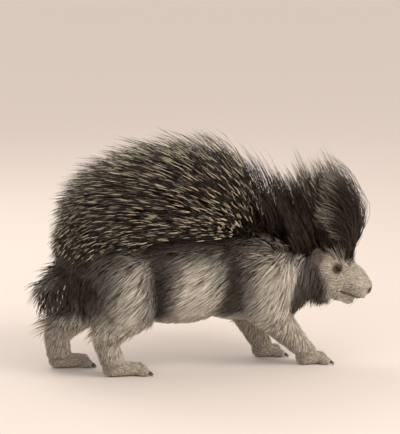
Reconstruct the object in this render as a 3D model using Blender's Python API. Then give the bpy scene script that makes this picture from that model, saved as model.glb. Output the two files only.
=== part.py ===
# A crested porcupine at a walk, head low and crest raised, at life size.
# Metres. +X runs to the nose, +Y to the animal's left, +Z up, and the soles lie at z = 0.

import math
import random

import bmesh
import bpy
from mathutils import Matrix, Vector
from mathutils.bvhtree import BVHTree

GAP = 0.0003  # between nodes that touch
VOXEL = 0.004  # grain at which the masses of flesh flow together
EVEN_FACES = 7000  # of the whole body, after a first even thinning
FLESH_FACES = 1900  # and once the faces away from the head are thinned too
SEED = 11

# Masses of the trunk: centre, half sizes of the skin, and the depth of coat that its core adds.
TRUNK_MASSES = [
    ("rump", (-0.190, 0, 0.240), (0.122, 0.104, 0.116), 0.018),
    ("belly", (-0.060, 0, 0.226), (0.170, 0.110, 0.112), 0.012),
    ("chest", (0.085, 0, 0.214), (0.140, 0.090, 0.098), 0.010),
    ("withers", (0.085, 0, 0.262), (0.110, 0.062, 0.062), 0.034),
    ("back", (-0.090, 0, 0.300), (0.180, 0.074, 0.074), 0.034),
]

# Cores of the thick coat on the crown and the nape: less than half way out to its tips.
COAT_CORES = [
    ("crest_core", (0.306, -0.021, 0.282), (0.052, 0.030, 0.060), 0.0),
    ("nape_core", (0.225, -0.008, 0.276), (0.070, 0.042, 0.060), 0.0),
]

# Chains of flesh: each station is (x, y, z, radius), and one coat depth serves the chain.
NECK = ([(0.130, 0, 0.222, 0.082), (0.196, -0.004, 0.226, 0.068), (0.256, -0.012, 0.222, 0.046)],
        0.007)
TAIL = ([(-0.268, 0, 0.246, 0.040), (-0.318, 0, 0.222, 0.026), (-0.352, 0, 0.196, 0.018)], 0.006)
TAIL_REGION = [(-0.300, 0, 0.236, 0.040), (-0.345, 0, 0.200, 0.060), (-0.400, 0, 0.150, 0.060)]
LEG_COAT = 0.005
LEGS = {  # joint by joint, hip or shoulder first, then the sole from heel to ball
    "hindleg_right": {
        "limb": [(-0.205, -0.052, 0.238, 0.078), (-0.186, -0.074, 0.168, 0.054),
                 (-0.222, -0.072, 0.120, 0.036), (-0.246, -0.066, 0.084, 0.027),
                 (-0.232, -0.065, 0.040, 0.027)],
        "sole": [(-0.232, -0.065, 0.022), (-0.172, -0.065, 0.021)],
        "toes": 5, "spread": 34,
    },
    "hindleg_left": {
        "limb": [(-0.222, 0.050, 0.238, 0.078), (-0.246, 0.072, 0.162, 0.052), (-0.300, 0.066, 0.112, 0.036),
                 (-0.332, 0.058, 0.080, 0.028), (-0.330, 0.056, 0.040, 0.028)],
        "sole": [(-0.332, 0.056, 0.022), (-0.278, 0.056, 0.021)],
        "toes": 5, "spread": 34,
    },
    "foreleg_right": {
        "limb": [(0.142, -0.044, 0.226, 0.064), (0.132, -0.064, 0.150, 0.044), (0.172, -0.062, 0.094, 0.032),
                 (0.214, -0.056, 0.050, 0.024), (0.232, -0.055, 0.032, 0.023)],
        "sole": [(0.228, -0.055, 0.020), (0.264, -0.055, 0.019)],
        "toes": 4, "spread": 30,
    },
    "foreleg_left": {
        "limb": [(0.148, 0.044, 0.226, 0.064), (0.112, 0.062, 0.150, 0.044), (0.128, 0.058, 0.094, 0.032),
                 (0.146, 0.052, 0.050, 0.024), (0.156, 0.050, 0.032, 0.023)],
        "sole": [(0.152, 0.050, 0.020), (0.186, 0.050, 0.019)],
        "toes": 4, "spread": 30,
    },
}
FOOT_CUTS = {"hindleg": 0.118, "foreleg": 0.104}  # height at which each leg's foot begins
TOE_RADIUS = 0.0082
TOE_LENGTH = 0.020
CLAW = {"length": 0.017, "root": 0.0036, "tip": 0.0007, "droop": 38}

# The head lies in a frame of its own: x to the nose, z to the crown.
HEAD_PLACE = (0.298, -0.020, 0.216)
HEAD_PITCH = 30  # nose down
HEAD_YAW = -15  # turned to the animal's right
HEAD_COAT = 0.003
HEAD_MASSES = [
    ("cranium", (-0.014, 0, 0.012), (0.056, 0.041, 0.040)),
    ("forehead", (0.022, 0, 0.020), (0.046, 0.027, 0.024)),
    ("nasal_roof", (0.050, 0, 0.014), (0.048, 0.024, 0.025)),
    ("snout", (0.060, 0, -0.001), (0.044, 0.030, 0.030)),
    ("nose_front", (0.088, 0, 0.004), (0.022, 0.025, 0.023)),
    ("jaw", (0.028, 0, -0.038), (0.050, 0.022, 0.017)),
    ("chin", (0.068, 0, -0.037), (0.020, 0.015, 0.012)),
    ("throat", (-0.030, 0, -0.028), (0.040, 0.036, 0.032)),
]
HEAD_PAIRS = [
    ("cheek", (0.004, 0.022, -0.016), (0.042, 0.022, 0.032)),
    ("whisker_pad", (0.084, 0.013, -0.010), (0.020, 0.014, 0.015)),
    ("brow", (0.016, 0.027, 0.023), (0.022, 0.011, 0.007)),
]
EYE = {"place": (0.013, 0.0355, 0.014), "radius": 0.0072}
EAR = {"place": (-0.044, 0.0455, 0.016), "half": (0.0090, 0.0165, 0.0215), "sweep": 28, "flare": 32}
NOSTRIL = {"place": (0.1065, 0.0118, 0.006), "half": (0.0070, 0.0032, 0.0068), "tilt": 28}
MOUTH = {"place": (0.060, 0, -0.0275), "half": (0.042, 0.026), "groove": (0.0070, 0.0011), "rise": 10}

HEAD_CUT = -0.068  # where the neck ends, on the head's own x
NECK_CUT = 0.186  # where the trunk ends, on the body's x
SIDE_REACH = 0.170  # half width of the space that the legs' cuts take

# Kinds of hair and quill: breadth, thickness, bends along it, depth of its root, and how far apart
# two roots stand at the least. Each has three flats: the ridge is outwards and the broad one inwards.
QUILL = {"width": 0.0068, "depth": 0.0064, "bends": 3, "sink": 0.009, "apart": 0.0248}
MANE = {"width": 0.0150, "depth": 0.0060, "bends": 3, "sink": 0.009, "apart": 0.0250}
LOCK = {"width": 0.0480, "depth": 0.0066, "bends": 3, "sink": 0.008, "apart": 0.0420}
CREST = {"width": 0.0110, "depth": 0.0060, "bends": 4, "sink": 0.008, "apart": 0.0168}
RUFF = {"width": 0.0280, "depth": 0.0060, "bends": 3, "sink": 0.007, "apart": 0.0285}
TAIL_HAIR = {"width": 0.0120, "depth": 0.0060, "bends": 3, "sink": 0.006, "apart": 0.0220}
FLATS = 3
CLEAR = 0.0006  # kept free round every hair and quill that passes another node
TRIES = 7  # ways that a hair is turned before its place is left empty
BEND_OUT = 0.21  # how far each try turns it off the skin
SHORTEN = 0.93  # and what each try leaves of its length
LOWEST = 0.006  # no hair hangs lower than this
ROOTS_TRIED = {"torso": 4200, "neck": 500, "hindleg": 260, "foreleg": 200, "head": 1500, "tail": 160}

# The coat of the back from the shoulder to the rump: what each of the three rows says at each x.
BACK_STATIONS = [0.20, 0.10, 0.0, -0.10, -0.18, -0.25, -0.31]
BACK_LENGTH = [0.155, 0.195, 0.208, 0.200, 0.148, 0.112, 0.105]
BACK_RISE = [74, 66, 59, 49, 42, 37, 35]  # degrees off the skin at the root
BACK_FALL = [42, 28, 18, 4, -10, -36, -62]  # degrees off the level at the tip

HIDE = ("hide", (0.055, 0.042, 0.034), 0.75)
BACK = ("banded_quill", (0.36, 0.30, 0.23), 0.45)
FACE = ("face_fur", (0.070, 0.052, 0.042), 0.70)
LEG_FUR = ("leg_fur", (0.060, 0.045, 0.036), 0.75)
EAR_SKIN = ("ear_skin", (0.20, 0.135, 0.115), 0.60)
EYE_GLOSS = ("eye_gloss", (0.010, 0.007, 0.006), 0.08)
HORN = ("claw_horn", (0.11, 0.085, 0.062), 0.40)


def clear_scene():
    for old in list(bpy.data.objects):
        bpy.data.objects.remove(old, do_unlink=True)


def material(spec):
    name, rgb, roughness = spec
    made = bpy.data.materials.get(name)
    if made is None:
        made = bpy.data.materials.new(name)
        made.use_nodes = True
        shader = made.node_tree.nodes["Principled BSDF"]
        shader.inputs["Base Color"].default_value = (*rgb, 1.0)
        shader.inputs["Roughness"].default_value = roughness
        shader.inputs["Metallic"].default_value = 0.0
    return made


def object_of(name, bm):
    mesh = bpy.data.meshes.new(name)
    bm.to_mesh(mesh)
    bm.free()
    made = bpy.data.objects.new(name, mesh)
    bpy.context.scene.collection.objects.link(made)
    return made


def bake_modifiers(obj):
    graph = bpy.context.evaluated_depsgraph_get()
    shaped = bpy.data.meshes.new_from_object(obj.evaluated_get(graph))
    obj.modifiers.clear()
    obj.data = shaped
    return obj


def boolean(obj, other, operation, solver="EXACT"):
    step = obj.modifiers.new(operation.lower(), "BOOLEAN")
    step.operation = operation
    step.solver = solver
    if isinstance(other, bpy.types.Collection):
        step.operand_type = "COLLECTION"
        step.collection = other
    else:
        step.object = other
    return bake_modifiers(obj)


def remove(*objects):
    for obj in objects:
        bpy.data.objects.remove(obj, do_unlink=True)


def copy_of(obj, name):
    made = obj.copy()
    made.data = obj.data.copy()
    made.name = name
    bpy.context.scene.collection.objects.link(made)
    return made


def keep_largest(obj):
    """Keeps the one closed surface that holds the most."""
    bm = bmesh.new()
    bm.from_mesh(obj.data)
    bmesh.ops.triangulate(bm, faces=bm.faces)
    left = set(bm.faces)
    islands = []
    while left:
        stack = [left.pop()]
        island = set(stack)
        while stack:
            for edge in stack.pop().edges:
                for face in edge.link_faces:
                    if face in left:
                        left.remove(face)
                        island.add(face)
                        stack.append(face)
        islands.append(island)

    def volume(island):
        corners = ([v.co for v in face.verts] for face in island)
        return abs(sum(a.dot(b.cross(c)) for a, b, c in corners)) / 6

    kept = max(islands, key=volume)
    scraps = [face for face in bm.faces if face not in kept]
    bmesh.ops.delete(bm, geom=scraps, context="FACES")
    bm.to_mesh(obj.data)
    bm.free()
    return obj


def smooth_between(low, high, value):
    t = min(max((value - low) / (high - low), 0.0), 1.0)
    return t * t * (3 - 2 * t)


# Flesh

def add_bead(bm, centre, half, turn=None, fineness=2):
    place = Matrix.Translation(centre) @ (turn or Matrix()) @ Matrix.Diagonal((*half, 1.0))
    bmesh.ops.create_icosphere(bm, subdivisions=fineness, radius=1.0, matrix=place)


def add_chain(bm, stations, grow=0.0, step=0.010):
    for start, end in zip(stations, stations[1:]):
        a, b = Vector(start[:3]), Vector(end[:3])
        count = max(1, round((b - a).length / step))
        for i in range(count + 1):
            t = i / count
            radius = start[3] + (end[3] - start[3]) * t + grow
            add_bead(bm, a.lerp(b, t), (radius, radius, radius))


def head_frame():
    yaw = Matrix.Rotation(math.radians(HEAD_YAW), 4, "Z")
    pitch = Matrix.Rotation(math.radians(HEAD_PITCH), 4, "Y")
    return Matrix.Translation(HEAD_PLACE) @ yaw @ pitch


def mirrored(point, side):
    return Vector((point[0], point[1] * side, point[2]))


def add_head(bm):
    frame = head_frame()
    turn = frame.to_3x3().to_4x4()
    for _, centre, half in HEAD_MASSES:
        add_bead(bm, frame @ Vector(centre), [h + HEAD_COAT for h in half], turn)
    for _, centre, half in HEAD_PAIRS:
        for side in (1, -1):
            add_bead(bm, frame @ mirrored(centre, side), [h + HEAD_COAT for h in half], turn)


def toe_lines(leg):
    """Root and tip of each toe, spread like a fan from the ball of the foot."""
    heel, ball = (Vector(p[:3]) for p in leg["sole"])
    ahead = (ball - heel).normalized()
    count = leg["toes"]
    for i in range(count):
        share = i / (count - 1) - 0.5
        turn = Matrix.Rotation(math.radians(leg["spread"] * share), 3, "Z")
        across = Vector((0, 1, 0)) * share * leg["sole"][1][2] * 1.75
        reach = TOE_LENGTH * (1.0 - 1.1 * abs(share) ** 2)
        root = ball + across
        root.z = TOE_RADIUS * 0.92
        yield root, root + turn @ ahead * reach, turn @ ahead


def add_leg(bm, leg):
    add_chain(bm, leg["limb"], LEG_COAT)
    (x0, y0, r0), (x1, y1, r1) = leg["sole"]
    for i in range(7):
        t = i / 6
        radius = r0 + (r1 - r0) * t + LEG_COAT * 0.6
        height = 0.020 - 0.005 * t
        add_bead(bm, (x0 + (x1 - x0) * t, y0 + (y1 - y0) * t, height * 0.9), (radius, radius, height))
    for root, tip, _ in toe_lines({**leg, "sole": [(x0, y0, 0.0), (x1, y1, r1)]}):
        add_chain(bm, [(*root, TOE_RADIUS), (*tip, TOE_RADIUS * 0.88)], 0.0, 0.005)


def whole_body():
    bm = bmesh.new()
    for _, centre, half, coat in TRUNK_MASSES + COAT_CORES:
        add_bead(bm, centre, [h + coat for h in half], fineness=3)
    for stations, coat in (NECK, TAIL):
        add_chain(bm, stations, coat)
    add_head(bm)
    for leg in LEGS.values():
        add_leg(bm, leg)
    body = object_of("body", bm)
    flow = body.modifiers.new("flow together", "REMESH")
    flow.mode = "VOXEL"
    flow.voxel_size = VOXEL
    ease = body.modifiers.new("ease", "SMOOTH")
    ease.factor = 0.5
    ease.iterations = 10
    bake_modifiers(body)
    return coarsened(body)


def coarsened(body):
    """Fewer faces: evenly at first, then away from the head, which keeps its fine ones."""
    fewer = body.modifiers.new("even", "DECIMATE")
    fewer.ratio = EVEN_FACES / (2 * len(body.data.polygons))
    bake_modifiers(body)
    to_head = head_frame().inverted()
    group = body.vertex_groups.new(name="broad")
    for vertex in body.data.vertices:
        local = to_head @ vertex.co
        on_head = local.x > -0.045 and local.length < 0.13 and local.z < 0.038
        group.add([vertex.index], 0.0 if on_head else 1.0, "REPLACE")
    fewer = body.modifiers.new("away from the head", "DECIMATE")
    fewer.ratio = FLESH_FACES / len(body.data.polygons)
    fewer.vertex_group = group.name
    bake_modifiers(body)
    body.vertex_groups.clear()
    return body


# Parting the body

def ball_points(centre, radius):
    bm = bmesh.new()
    add_bead(bm, centre, (radius, radius, radius))
    points = [v.co.copy() for v in bm.verts]
    bm.free()
    return points


def hull(name, balls, grow):
    bm = bmesh.new()
    for x, y, z, radius in balls:
        for point in ball_points((x, y, z), radius + grow):
            bm.verts.new(point)
    bmesh.ops.convex_hull(bm, input=bm.verts)
    loose = [v for v in bm.verts if not v.link_faces]
    bmesh.ops.delete(bm, geom=loose, context="VERTS")
    bmesh.ops.recalc_face_normals(bm, faces=bm.faces)
    return object_of(name, bm)


def slab(name, discs, side, grow, corners=10):
    """The space round flat discs that reach from near the body's middle out past its side."""
    bm = bmesh.new()
    for x, z, radius, inner in discs:
        for i in range(corners):
            angle = 2 * math.pi * i / corners
            for reach in (inner - grow, SIDE_REACH):
                bm.verts.new((x + math.cos(angle) * (radius + grow), side * reach,
                              z + math.sin(angle) * (radius + grow)))
    bmesh.ops.convex_hull(bm, input=bm.verts)
    loose = [v for v in bm.verts if not v.link_faces]
    bmesh.ops.delete(bm, geom=loose, context="VERTS")
    bmesh.ops.dissolve_limit(bm, angle_limit=0.002, verts=bm.verts, edges=bm.edges)
    bmesh.ops.recalc_face_normals(bm, faces=bm.faces)
    return object_of(name, bm)


def leg_region(name, leg, grow):
    """The space that a leg's node takes: round the thigh, and round the shank and foot."""
    x, y, z, radius = leg["limb"][0]
    side = math.copysign(1.0, y)
    kx, _, kz, knee_radius = leg["limb"][1]
    hip = (x, z - 0.004, radius * 0.86, 0.034)
    knee = (kx, kz, knee_radius * 1.10, 0.034)
    shank = [(px, pz, r * 1.7, 0.006) for px, _, pz, r in leg["limb"][2:]]
    toe = (leg["sole"][1][0] + 0.020, 0.008, 0.040, 0.006)
    upper = slab(name, [hip, knee], side, grow)
    lower = slab(name + "_foot", [knee, *shank, toe], side, grow)
    region = boolean(upper, lower, "UNION")
    remove(lower)
    return region


def half_space(name, point, ahead):
    """A block whose near face passes through the point and faces back along ahead."""
    bm = bmesh.new()
    bmesh.ops.create_cube(bm, size=2.0)
    turn = Vector(ahead).to_track_quat("X", "Z").to_matrix().to_4x4()
    centre = Vector(point) + Vector(ahead).normalized()
    bmesh.ops.transform(bm, matrix=Matrix.Translation(centre) @ turn, verts=bm.verts)
    return object_of(name, bm)


def parted(body, name, region_maker):
    """Takes the region out of the body as a node of its own, GAP away from what stays."""
    inner = region_maker(0.0)
    outer = region_maker(GAP)
    node = keep_largest(boolean(copy_of(body, name), inner, "INTERSECT"))
    keep_largest(boolean(body, outer, "DIFFERENCE"))
    remove(inner, outer)
    return node


def below(name, height):
    return half_space(name, (0, 0, height), (0, 0, -1))


def part_body(body):
    floor = below("floor", 0)
    boolean(body, floor, "DIFFERENCE")
    remove(floor)
    nodes = {}
    for name, leg in LEGS.items():
        limb = parted(body, name, lambda grow, leg=leg: leg_region("region", leg, grow))
        foot = name.replace("leg", "foot")
        cut = FOOT_CUTS[name.split("_")[0]]
        nodes[foot] = parted(limb, foot, lambda grow, cut=cut: below("region", cut + grow))
        nodes[name] = limb
    nodes["tail"] = parted(body, "tail", lambda grow: hull("region", TAIL_REGION, grow))
    frame = head_frame()
    ahead = Matrix.Rotation(math.radians(HEAD_YAW), 3, "Z") @ Vector((0.990, 0, -0.139))
    start = frame @ Vector((HEAD_CUT, 0, 0))
    nodes["head"] = parted(body, "head", lambda grow: half_space("region", start - ahead * grow, ahead))
    at_neck = Vector((NECK_CUT, 0, 0))
    nodes["neck"] = parted(body, "neck",
                           lambda grow: half_space("region", at_neck - Vector((grow, 0, 0)), (1, 0, 0)))
    body.name = "torso"
    nodes["torso"] = body
    return nodes


# Quills, bristles and locks

def centre_line(root, rise, fall, length, form):
    """Points from the sunk root to the tip, leaving along rise and ending along fall."""
    bends = form["bends"]
    points = [root - rise * form["sink"]]
    place = root
    for i in range(bends):
        place = place + rise.lerp(fall, (i + 0.5) / bends).normalized() * (length / bends)
        points.append(place)
    return points


def strand(points, normal, form, grow=0.0):
    """One closed, tapered body along the points, flat against the skin where its form is broad."""
    bm = bmesh.new()
    side = (points[-1] - points[1]).cross(normal).normalized()
    broad = form["width"] > 1.5 * form["depth"]
    rows = []
    for i, point in enumerate(points[:-1]):
        t = i / (len(points) - 1)
        taper = 0.42 + 2.3 * t - 2.72 * t * t if broad else 1 - t ** 1.7
        along = (points[i + 1] - point).normalized()
        across = (side - along * side.dot(along)).normalized()
        up = across.cross(along)
        half_width = form["width"] / 2 * taper + grow
        half_depth = form["depth"] / 2 * (1 - 0.7 * t) + grow
        row = []
        for j in range(FLATS):
            angle = 2 * math.pi * (j / FLATS + 0.25)
            offset = across * math.cos(angle) * half_width + up * math.sin(angle) * half_depth
            row.append(bm.verts.new(point + offset))
        rows.append(row)
    tip = bm.verts.new(points[-1])
    for a, b in zip(rows, rows[1:]):
        for j in range(FLATS):
            bm.faces.new([a[j], a[(j + 1) % FLATS], b[(j + 1) % FLATS], b[j]])
    for j in range(FLATS):
        bm.faces.new([rows[-1][j], rows[-1][(j + 1) % FLATS], tip])
    bm.faces.new(rows[0])
    bmesh.ops.triangulate(bm, faces=bm.faces)
    bmesh.ops.recalc_face_normals(bm, faces=bm.faces)
    return bm


def tree_of(obj):
    bm = bmesh.new()
    bm.from_mesh(obj.data)
    made = BVHTree.FromBMesh(bm)
    bm.free()
    return made


def meets_any(points, normal, form, others):
    """Whether a strand comes within its clearance of another node or of the floor."""
    if min(p.z for p in points) < LOWEST:
        return True
    trial = strand(points, normal, form, CLEAR)
    found = BVHTree.FromBMesh(trial)
    trial.free()
    return any(found.overlap(other) for other in others)


def roots_on(obj, rng, count):
    """Random points on the node's surface, spread by area, each with its normal."""
    obj.data.calc_loop_triangles()
    corners = [v.co for v in obj.data.vertices]
    faces = [[corners[i] for i in t.vertices] for t in obj.data.loop_triangles]
    areas = [(b - a).cross(c - a).length / 2 for a, b, c in faces]
    for a, b, c in rng.choices(faces, weights=areas, k=count):
        u, v = sorted((rng.random(), rng.random()))
        yield a * u + b * (v - u) + c * (1 - v), (b - a).cross(c - a).normalized()


def down_the_coat(normal, steepness):
    """The way the coat lies: backwards along the skin, and downwards by the steepness in degrees."""
    angle = math.radians(steepness)
    way = Vector((-math.cos(angle), 0, -math.sin(angle)))
    lie = way - normal * way.dot(normal)
    return lie.normalized()


def lifted(lie, normal, degrees):
    angle = math.radians(degrees)
    return (lie * math.cos(angle) + normal * math.sin(angle)).normalized()


def along_back(x, values):
    """Reads a value that changes from the shoulder to the rump."""
    x = min(max(x, BACK_STATIONS[-1]), BACK_STATIONS[0])
    for i in range(len(BACK_STATIONS) - 1):
        if x >= BACK_STATIONS[i + 1]:
            t = (BACK_STATIONS[i] - x) / (BACK_STATIONS[i] - BACK_STATIONS[i + 1])
            return values[i] + (values[i + 1] - values[i]) * t


def back_hair(point, normal, rng, top, rear):
    """Long quills of the back and rump, and the bristles of the shoulders before them."""
    form = MANE if point.x > 0.04 or point.x < -0.22 else QUILL
    length = along_back(point.x, BACK_LENGTH) * (0.60 + 0.40 * top) * rng.uniform(0.88, 1.10)
    lie = down_the_coat(normal, 10 + 50 * rear)
    rise = lifted(lie, normal, along_back(point.x, BACK_RISE) * (0.40 + 0.60 * top))
    level = Vector((-1, normal.y * (0.36 + 0.22 * rear), 0)).normalized()
    tip_lift = along_back(point.x, BACK_FALL)
    fall = lifted(level, Vector((0, 0, 1)), tip_lift - 16 * (1 - top))
    return form, length, rise, fall


def trunk_coat(point, normal, rng):
    top = smooth_between(0.02, 0.60, normal.z)
    rear = 1 - smooth_between(-0.30, -0.13, point.x)
    if point.z < 0.118 or normal.z < -0.75:
        return None
    if top > 0.22 or normal.x < -0.55:
        return back_hair(point, normal, rng, top, rear)
    lie = down_the_coat(normal, 26 + 40 * rear + 16 * smooth_between(0.06, 0.16, point.x))
    length = (0.100 + 0.020 * rear + 0.020 * top) * rng.uniform(0.88, 1.12)
    return LOCK, length, lifted(lie, normal, 19 + 10 * top), lifted(lie, normal, 1)


def neck_coat(point, normal, rng):
    top = smooth_between(0.02, 0.60, normal.z)
    if top > 0.25:
        return back_hair(point, normal, rng, top, 0.0)
    under = smooth_between(-0.1, -0.8, normal.z) if normal.z < -0.1 else 0.0
    lie = down_the_coat(normal, 62)
    hang = Vector((-0.25, normal.y * 0.1, -0.96)).normalized()
    length = (0.080 + 0.020 * under) * rng.uniform(0.85, 1.12)
    rise = lifted(lie, normal, 24).lerp(hang, 0.4 * under).normalized()
    return RUFF, length, rise, lie.lerp(hang, 0.6).normalized()


def leg_coat(point, normal, rng):
    """Locks that hang over the thigh and the upper arm."""
    outer = normal.y * math.copysign(1.0, point.y) > 0.25
    if point.z < 0.150 or not outer:
        return None
    rear = 1 - smooth_between(-0.26, -0.10, point.x)
    lie = down_the_coat(normal, 46 + 16 * rear)
    length = (0.085 + 0.015 * rear) * rng.uniform(0.88, 1.12)
    return LOCK, length, lifted(lie, normal, 15), lifted(lie, normal, 0)


def head_coat(point, normal, rng):
    """The crest from brow to nape, and the ruff behind the jaw."""
    frame = head_frame()
    local = frame.inverted() @ point
    if local.x < -0.026 and local.z < 0.004:
        lie = down_the_coat(normal, 74)
        hang = Vector((-0.22, normal.y * 0.12, -0.97)).normalized()
        return RUFF, 0.088 * rng.uniform(0.8, 1.12), lifted(lie, normal, 26), lie.lerp(hang, 0.6).normalized()
    if local.x > 0.050 or local.z < 0.034:
        return None
    back = 1 - smooth_between(-0.070, 0.045, local.x)
    spread = max(-1.0, min(1.0, local.y / 0.040))
    low = 1 - smooth_between(0.034, 0.066, local.z)
    length = (0.312 - 0.095 * back) * (1 - 0.20 * abs(spread)) * (1 - 0.34 * low * (1 - back))
    aside = frame.to_3x3() @ Vector((0, spread, 0))
    ahead = Vector((frame.col[0].x, frame.col[0].y, 0)).normalized()

    def arc(degrees, sideways):
        lean = math.radians(degrees)
        return (ahead * math.cos(lean) + Vector((0, 0, math.sin(lean))) + aside * sideways).normalized()

    return CREST, length * rng.uniform(0.86, 1.08), arc(60 + 38 * back, 0.50), arc(163 + 4 * back, 0.26)


def tail_coat(point, normal, rng):
    down = Vector((-0.62, 0, -0.78))
    lie = down - normal * normal.dot(down)
    lie = lie.normalized() if lie.length > 0.3 else down
    fall = Vector((-0.30, normal.y * 0.25, -0.92)).normalized()
    return TAIL_HAIR, 0.085 * rng.uniform(0.8, 1.2), lifted(lie, normal, 34), fall


def dress(name, nodes, coat, count):
    """Sets hairs and quills on a node, clear of every other node, and joins them to it."""
    obj = nodes[name]
    obj.data.calc_loop_triangles()
    bare = len(obj.data.loop_triangles)
    rng = random.Random(SEED + len(name) + count)
    others = [tree_of(other) for key, other in nodes.items() if key != name]
    gathered = bpy.data.collections.new(name + "_coat")
    kept = []
    for point, normal in roots_on(obj, rng, count):
        grown = coat(point, normal, rng)
        if grown is None:
            continue
        form, length, rise, fall = grown
        if any((point - old).length < (form["apart"] + reach) / 2 for old, reach in kept):
            continue
        for _ in range(TRIES):
            points = centre_line(point, rise, fall, length, form)
            crossing = meets_any(points, normal, form, others)
            if not crossing:
                break
            rise = (rise + normal * BEND_OUT).normalized()
            fall = (fall + normal * BEND_OUT).normalized()
            length *= SHORTEN
        if crossing:
            continue
        kept.append((point, form["apart"]))
        piece = object_of(f"{name}_hair", strand(points, normal, form))
        bpy.context.scene.collection.objects.unlink(piece)
        gathered.objects.link(piece)
    boolean(obj, gathered, "UNION")
    for piece in list(gathered.objects):
        remove(piece)
    bpy.data.collections.remove(gathered)
    keep_largest(obj)
    obj.data.calc_loop_triangles()
    print(name, "carries", len(kept), "on", bare, "faces, now", len(obj.data.loop_triangles))


# Head and feet in detail

def placed_ball(name, centre, half, turn=None, fineness=2):
    bm = bmesh.new()
    add_bead(bm, centre, half, turn, fineness)
    return object_of(name, bm)


def ring(name, centre, turn, radii, minor, around=28, across=6):
    """A torus whose big circle is drawn out to an ellipse, and its small one by minor's two sizes."""
    bm = bmesh.new()
    rows = []
    for i in range(around):
        angle = 2 * math.pi * i / around
        out = Vector((math.cos(angle), math.sin(angle), 0))
        middle = Vector((out.x * radii[0], out.y * radii[1], 0))
        row = []
        for j in range(across):
            tilt = 2 * math.pi * j / across
            point = middle + out * math.cos(tilt) * minor[0] + Vector((0, 0, math.sin(tilt) * minor[1]))
            row.append(bm.verts.new(Vector(centre) + turn @ point))
        rows.append(row)
    for i in range(around):
        for j in range(across):
            bm.faces.new([rows[i][j], rows[(i + 1) % around][j],
                          rows[(i + 1) % around][(j + 1) % across], rows[i][(j + 1) % across]])
    bmesh.ops.recalc_face_normals(bm, faces=bm.faces)
    return object_of(name, bm)


def finish_head(head, nodes):
    frame = head_frame()
    turn = frame.to_3x3()
    # the line of the mouth, drawn round the muzzle under the upper lip
    rise = turn @ Matrix.Rotation(math.radians(-MOUTH["rise"]), 3, "Y")
    mouth = ring("mouth", frame @ Vector(MOUTH["place"]), rise, MOUTH["half"], MOUTH["groove"], 20, 4)
    boolean(head, mouth, "DIFFERENCE")
    remove(mouth)
    for side, word in ((1, "left"), (-1, "right")):
        tilt = Matrix.Rotation(math.radians(-side * NOSTRIL["tilt"]), 4, "X")
        slit = placed_ball("slit", frame @ mirrored(NOSTRIL["place"], side), NOSTRIL["half"],
                           turn.to_4x4() @ tilt)
        boolean(head, slit, "DIFFERENCE")
        remove(slit)
        centre = frame @ mirrored(EYE["place"], side)
        outward = (turn @ Vector((0.26, side, 0.16))).normalized()
        facing = outward.to_track_quat("Z", "X").to_matrix()
        opening = (EYE["radius"] * 1.04, EYE["radius"] * 0.90)
        lid = ring("lid", centre + outward * 0.0034, facing, opening, (0.0024, 0.0024), 12, 5)
        boolean(head, lid, "UNION")
        socket = placed_ball("socket", centre, [EYE["radius"] + GAP] * 3)
        boolean(head, socket, "DIFFERENCE")
        remove(lid, socket)
        nodes["eye_" + word] = placed_ball("eye_" + word, centre, [EYE["radius"]] * 3)
        nodes["ear_" + word] = add_ear(head, frame, side, "ear_" + word)
    keep_largest(head)


def ear_axes(frame, side):
    flare = Matrix.Rotation(math.radians(side * (90 - EAR["flare"])), 4, "Z")
    sweep = Matrix.Rotation(math.radians(-EAR["sweep"]), 4, "Y")
    return frame.to_3x3().to_4x4() @ sweep @ flare


def add_ear(head, frame, side, name):
    """A rounded cup, open forwards and outwards, rooted in a pocket of the head."""
    centre = frame @ mirrored(EAR["place"], side)
    turn = ear_axes(frame, side)
    ear = placed_ball(name, centre, EAR["half"], turn)
    hollow_centre = centre + turn.to_3x3() @ Vector((0.0068, 0, 0.0010))
    hollow = placed_ball("hollow", hollow_centre, [0.0085, 0.0128, 0.0165], turn)
    boolean(ear, hollow, "DIFFERENCE")
    pocket = placed_ball("pocket", centre, [h + GAP for h in EAR["half"]], turn)
    boolean(head, pocket, "DIFFERENCE")
    remove(hollow, pocket)
    return keep_largest(ear)


def claw(name, root, ahead, grow=0.0):
    """A blunt digging claw that droops to just above the floor."""
    bm = bmesh.new()
    side = Vector((-ahead.y, ahead.x, 0)).normalized()
    rows = []
    steps, sides = 2, 5
    place = root - ahead * 0.006
    for i in range(steps + 1):
        t = i / steps
        bend = Matrix.Rotation(math.radians(CLAW["droop"] * t), 3, side)
        lie = bend @ ahead
        up = side.cross(lie) * -1
        radius = CLAW["root"] + (CLAW["tip"] - CLAW["root"]) * t ** 1.2 + grow
        row = []
        for j in range(sides):
            angle = 2 * math.pi * j / sides
            row.append(bm.verts.new(place + (side * math.cos(angle) * 0.85 + up * math.sin(angle)) * radius))
        rows.append(row)
        place = place + lie * (CLAW["length"] / steps)
    for a, b in zip(rows, rows[1:]):
        for j in range(sides):
            bm.faces.new([a[j], a[(j + 1) % sides], b[(j + 1) % sides], b[j]])
    bm.faces.new(rows[0])
    bm.faces.new(rows[-1])
    bmesh.ops.recalc_face_normals(bm, faces=bm.faces)
    return object_of(name, bm)


def add_claws(nodes):
    for leg_name, leg in LEGS.items():
        foot = nodes[leg_name.replace("leg", "foot")]
        limb, side = leg_name.split("_")
        for number, (_, tip, ahead) in enumerate(toe_lines(leg), 1):
            root = tip + Vector((0, 0, 0.0015))
            name = f"claw_{'hind' if limb == 'hindleg' else 'fore'}_{side}_{number}"
            nodes[name] = claw(name, root, ahead)
            pocket = claw("pocket", root, ahead, GAP)
            boolean(foot, pocket, "DIFFERENCE")
            remove(pocket)
        keep_largest(foot)


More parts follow.
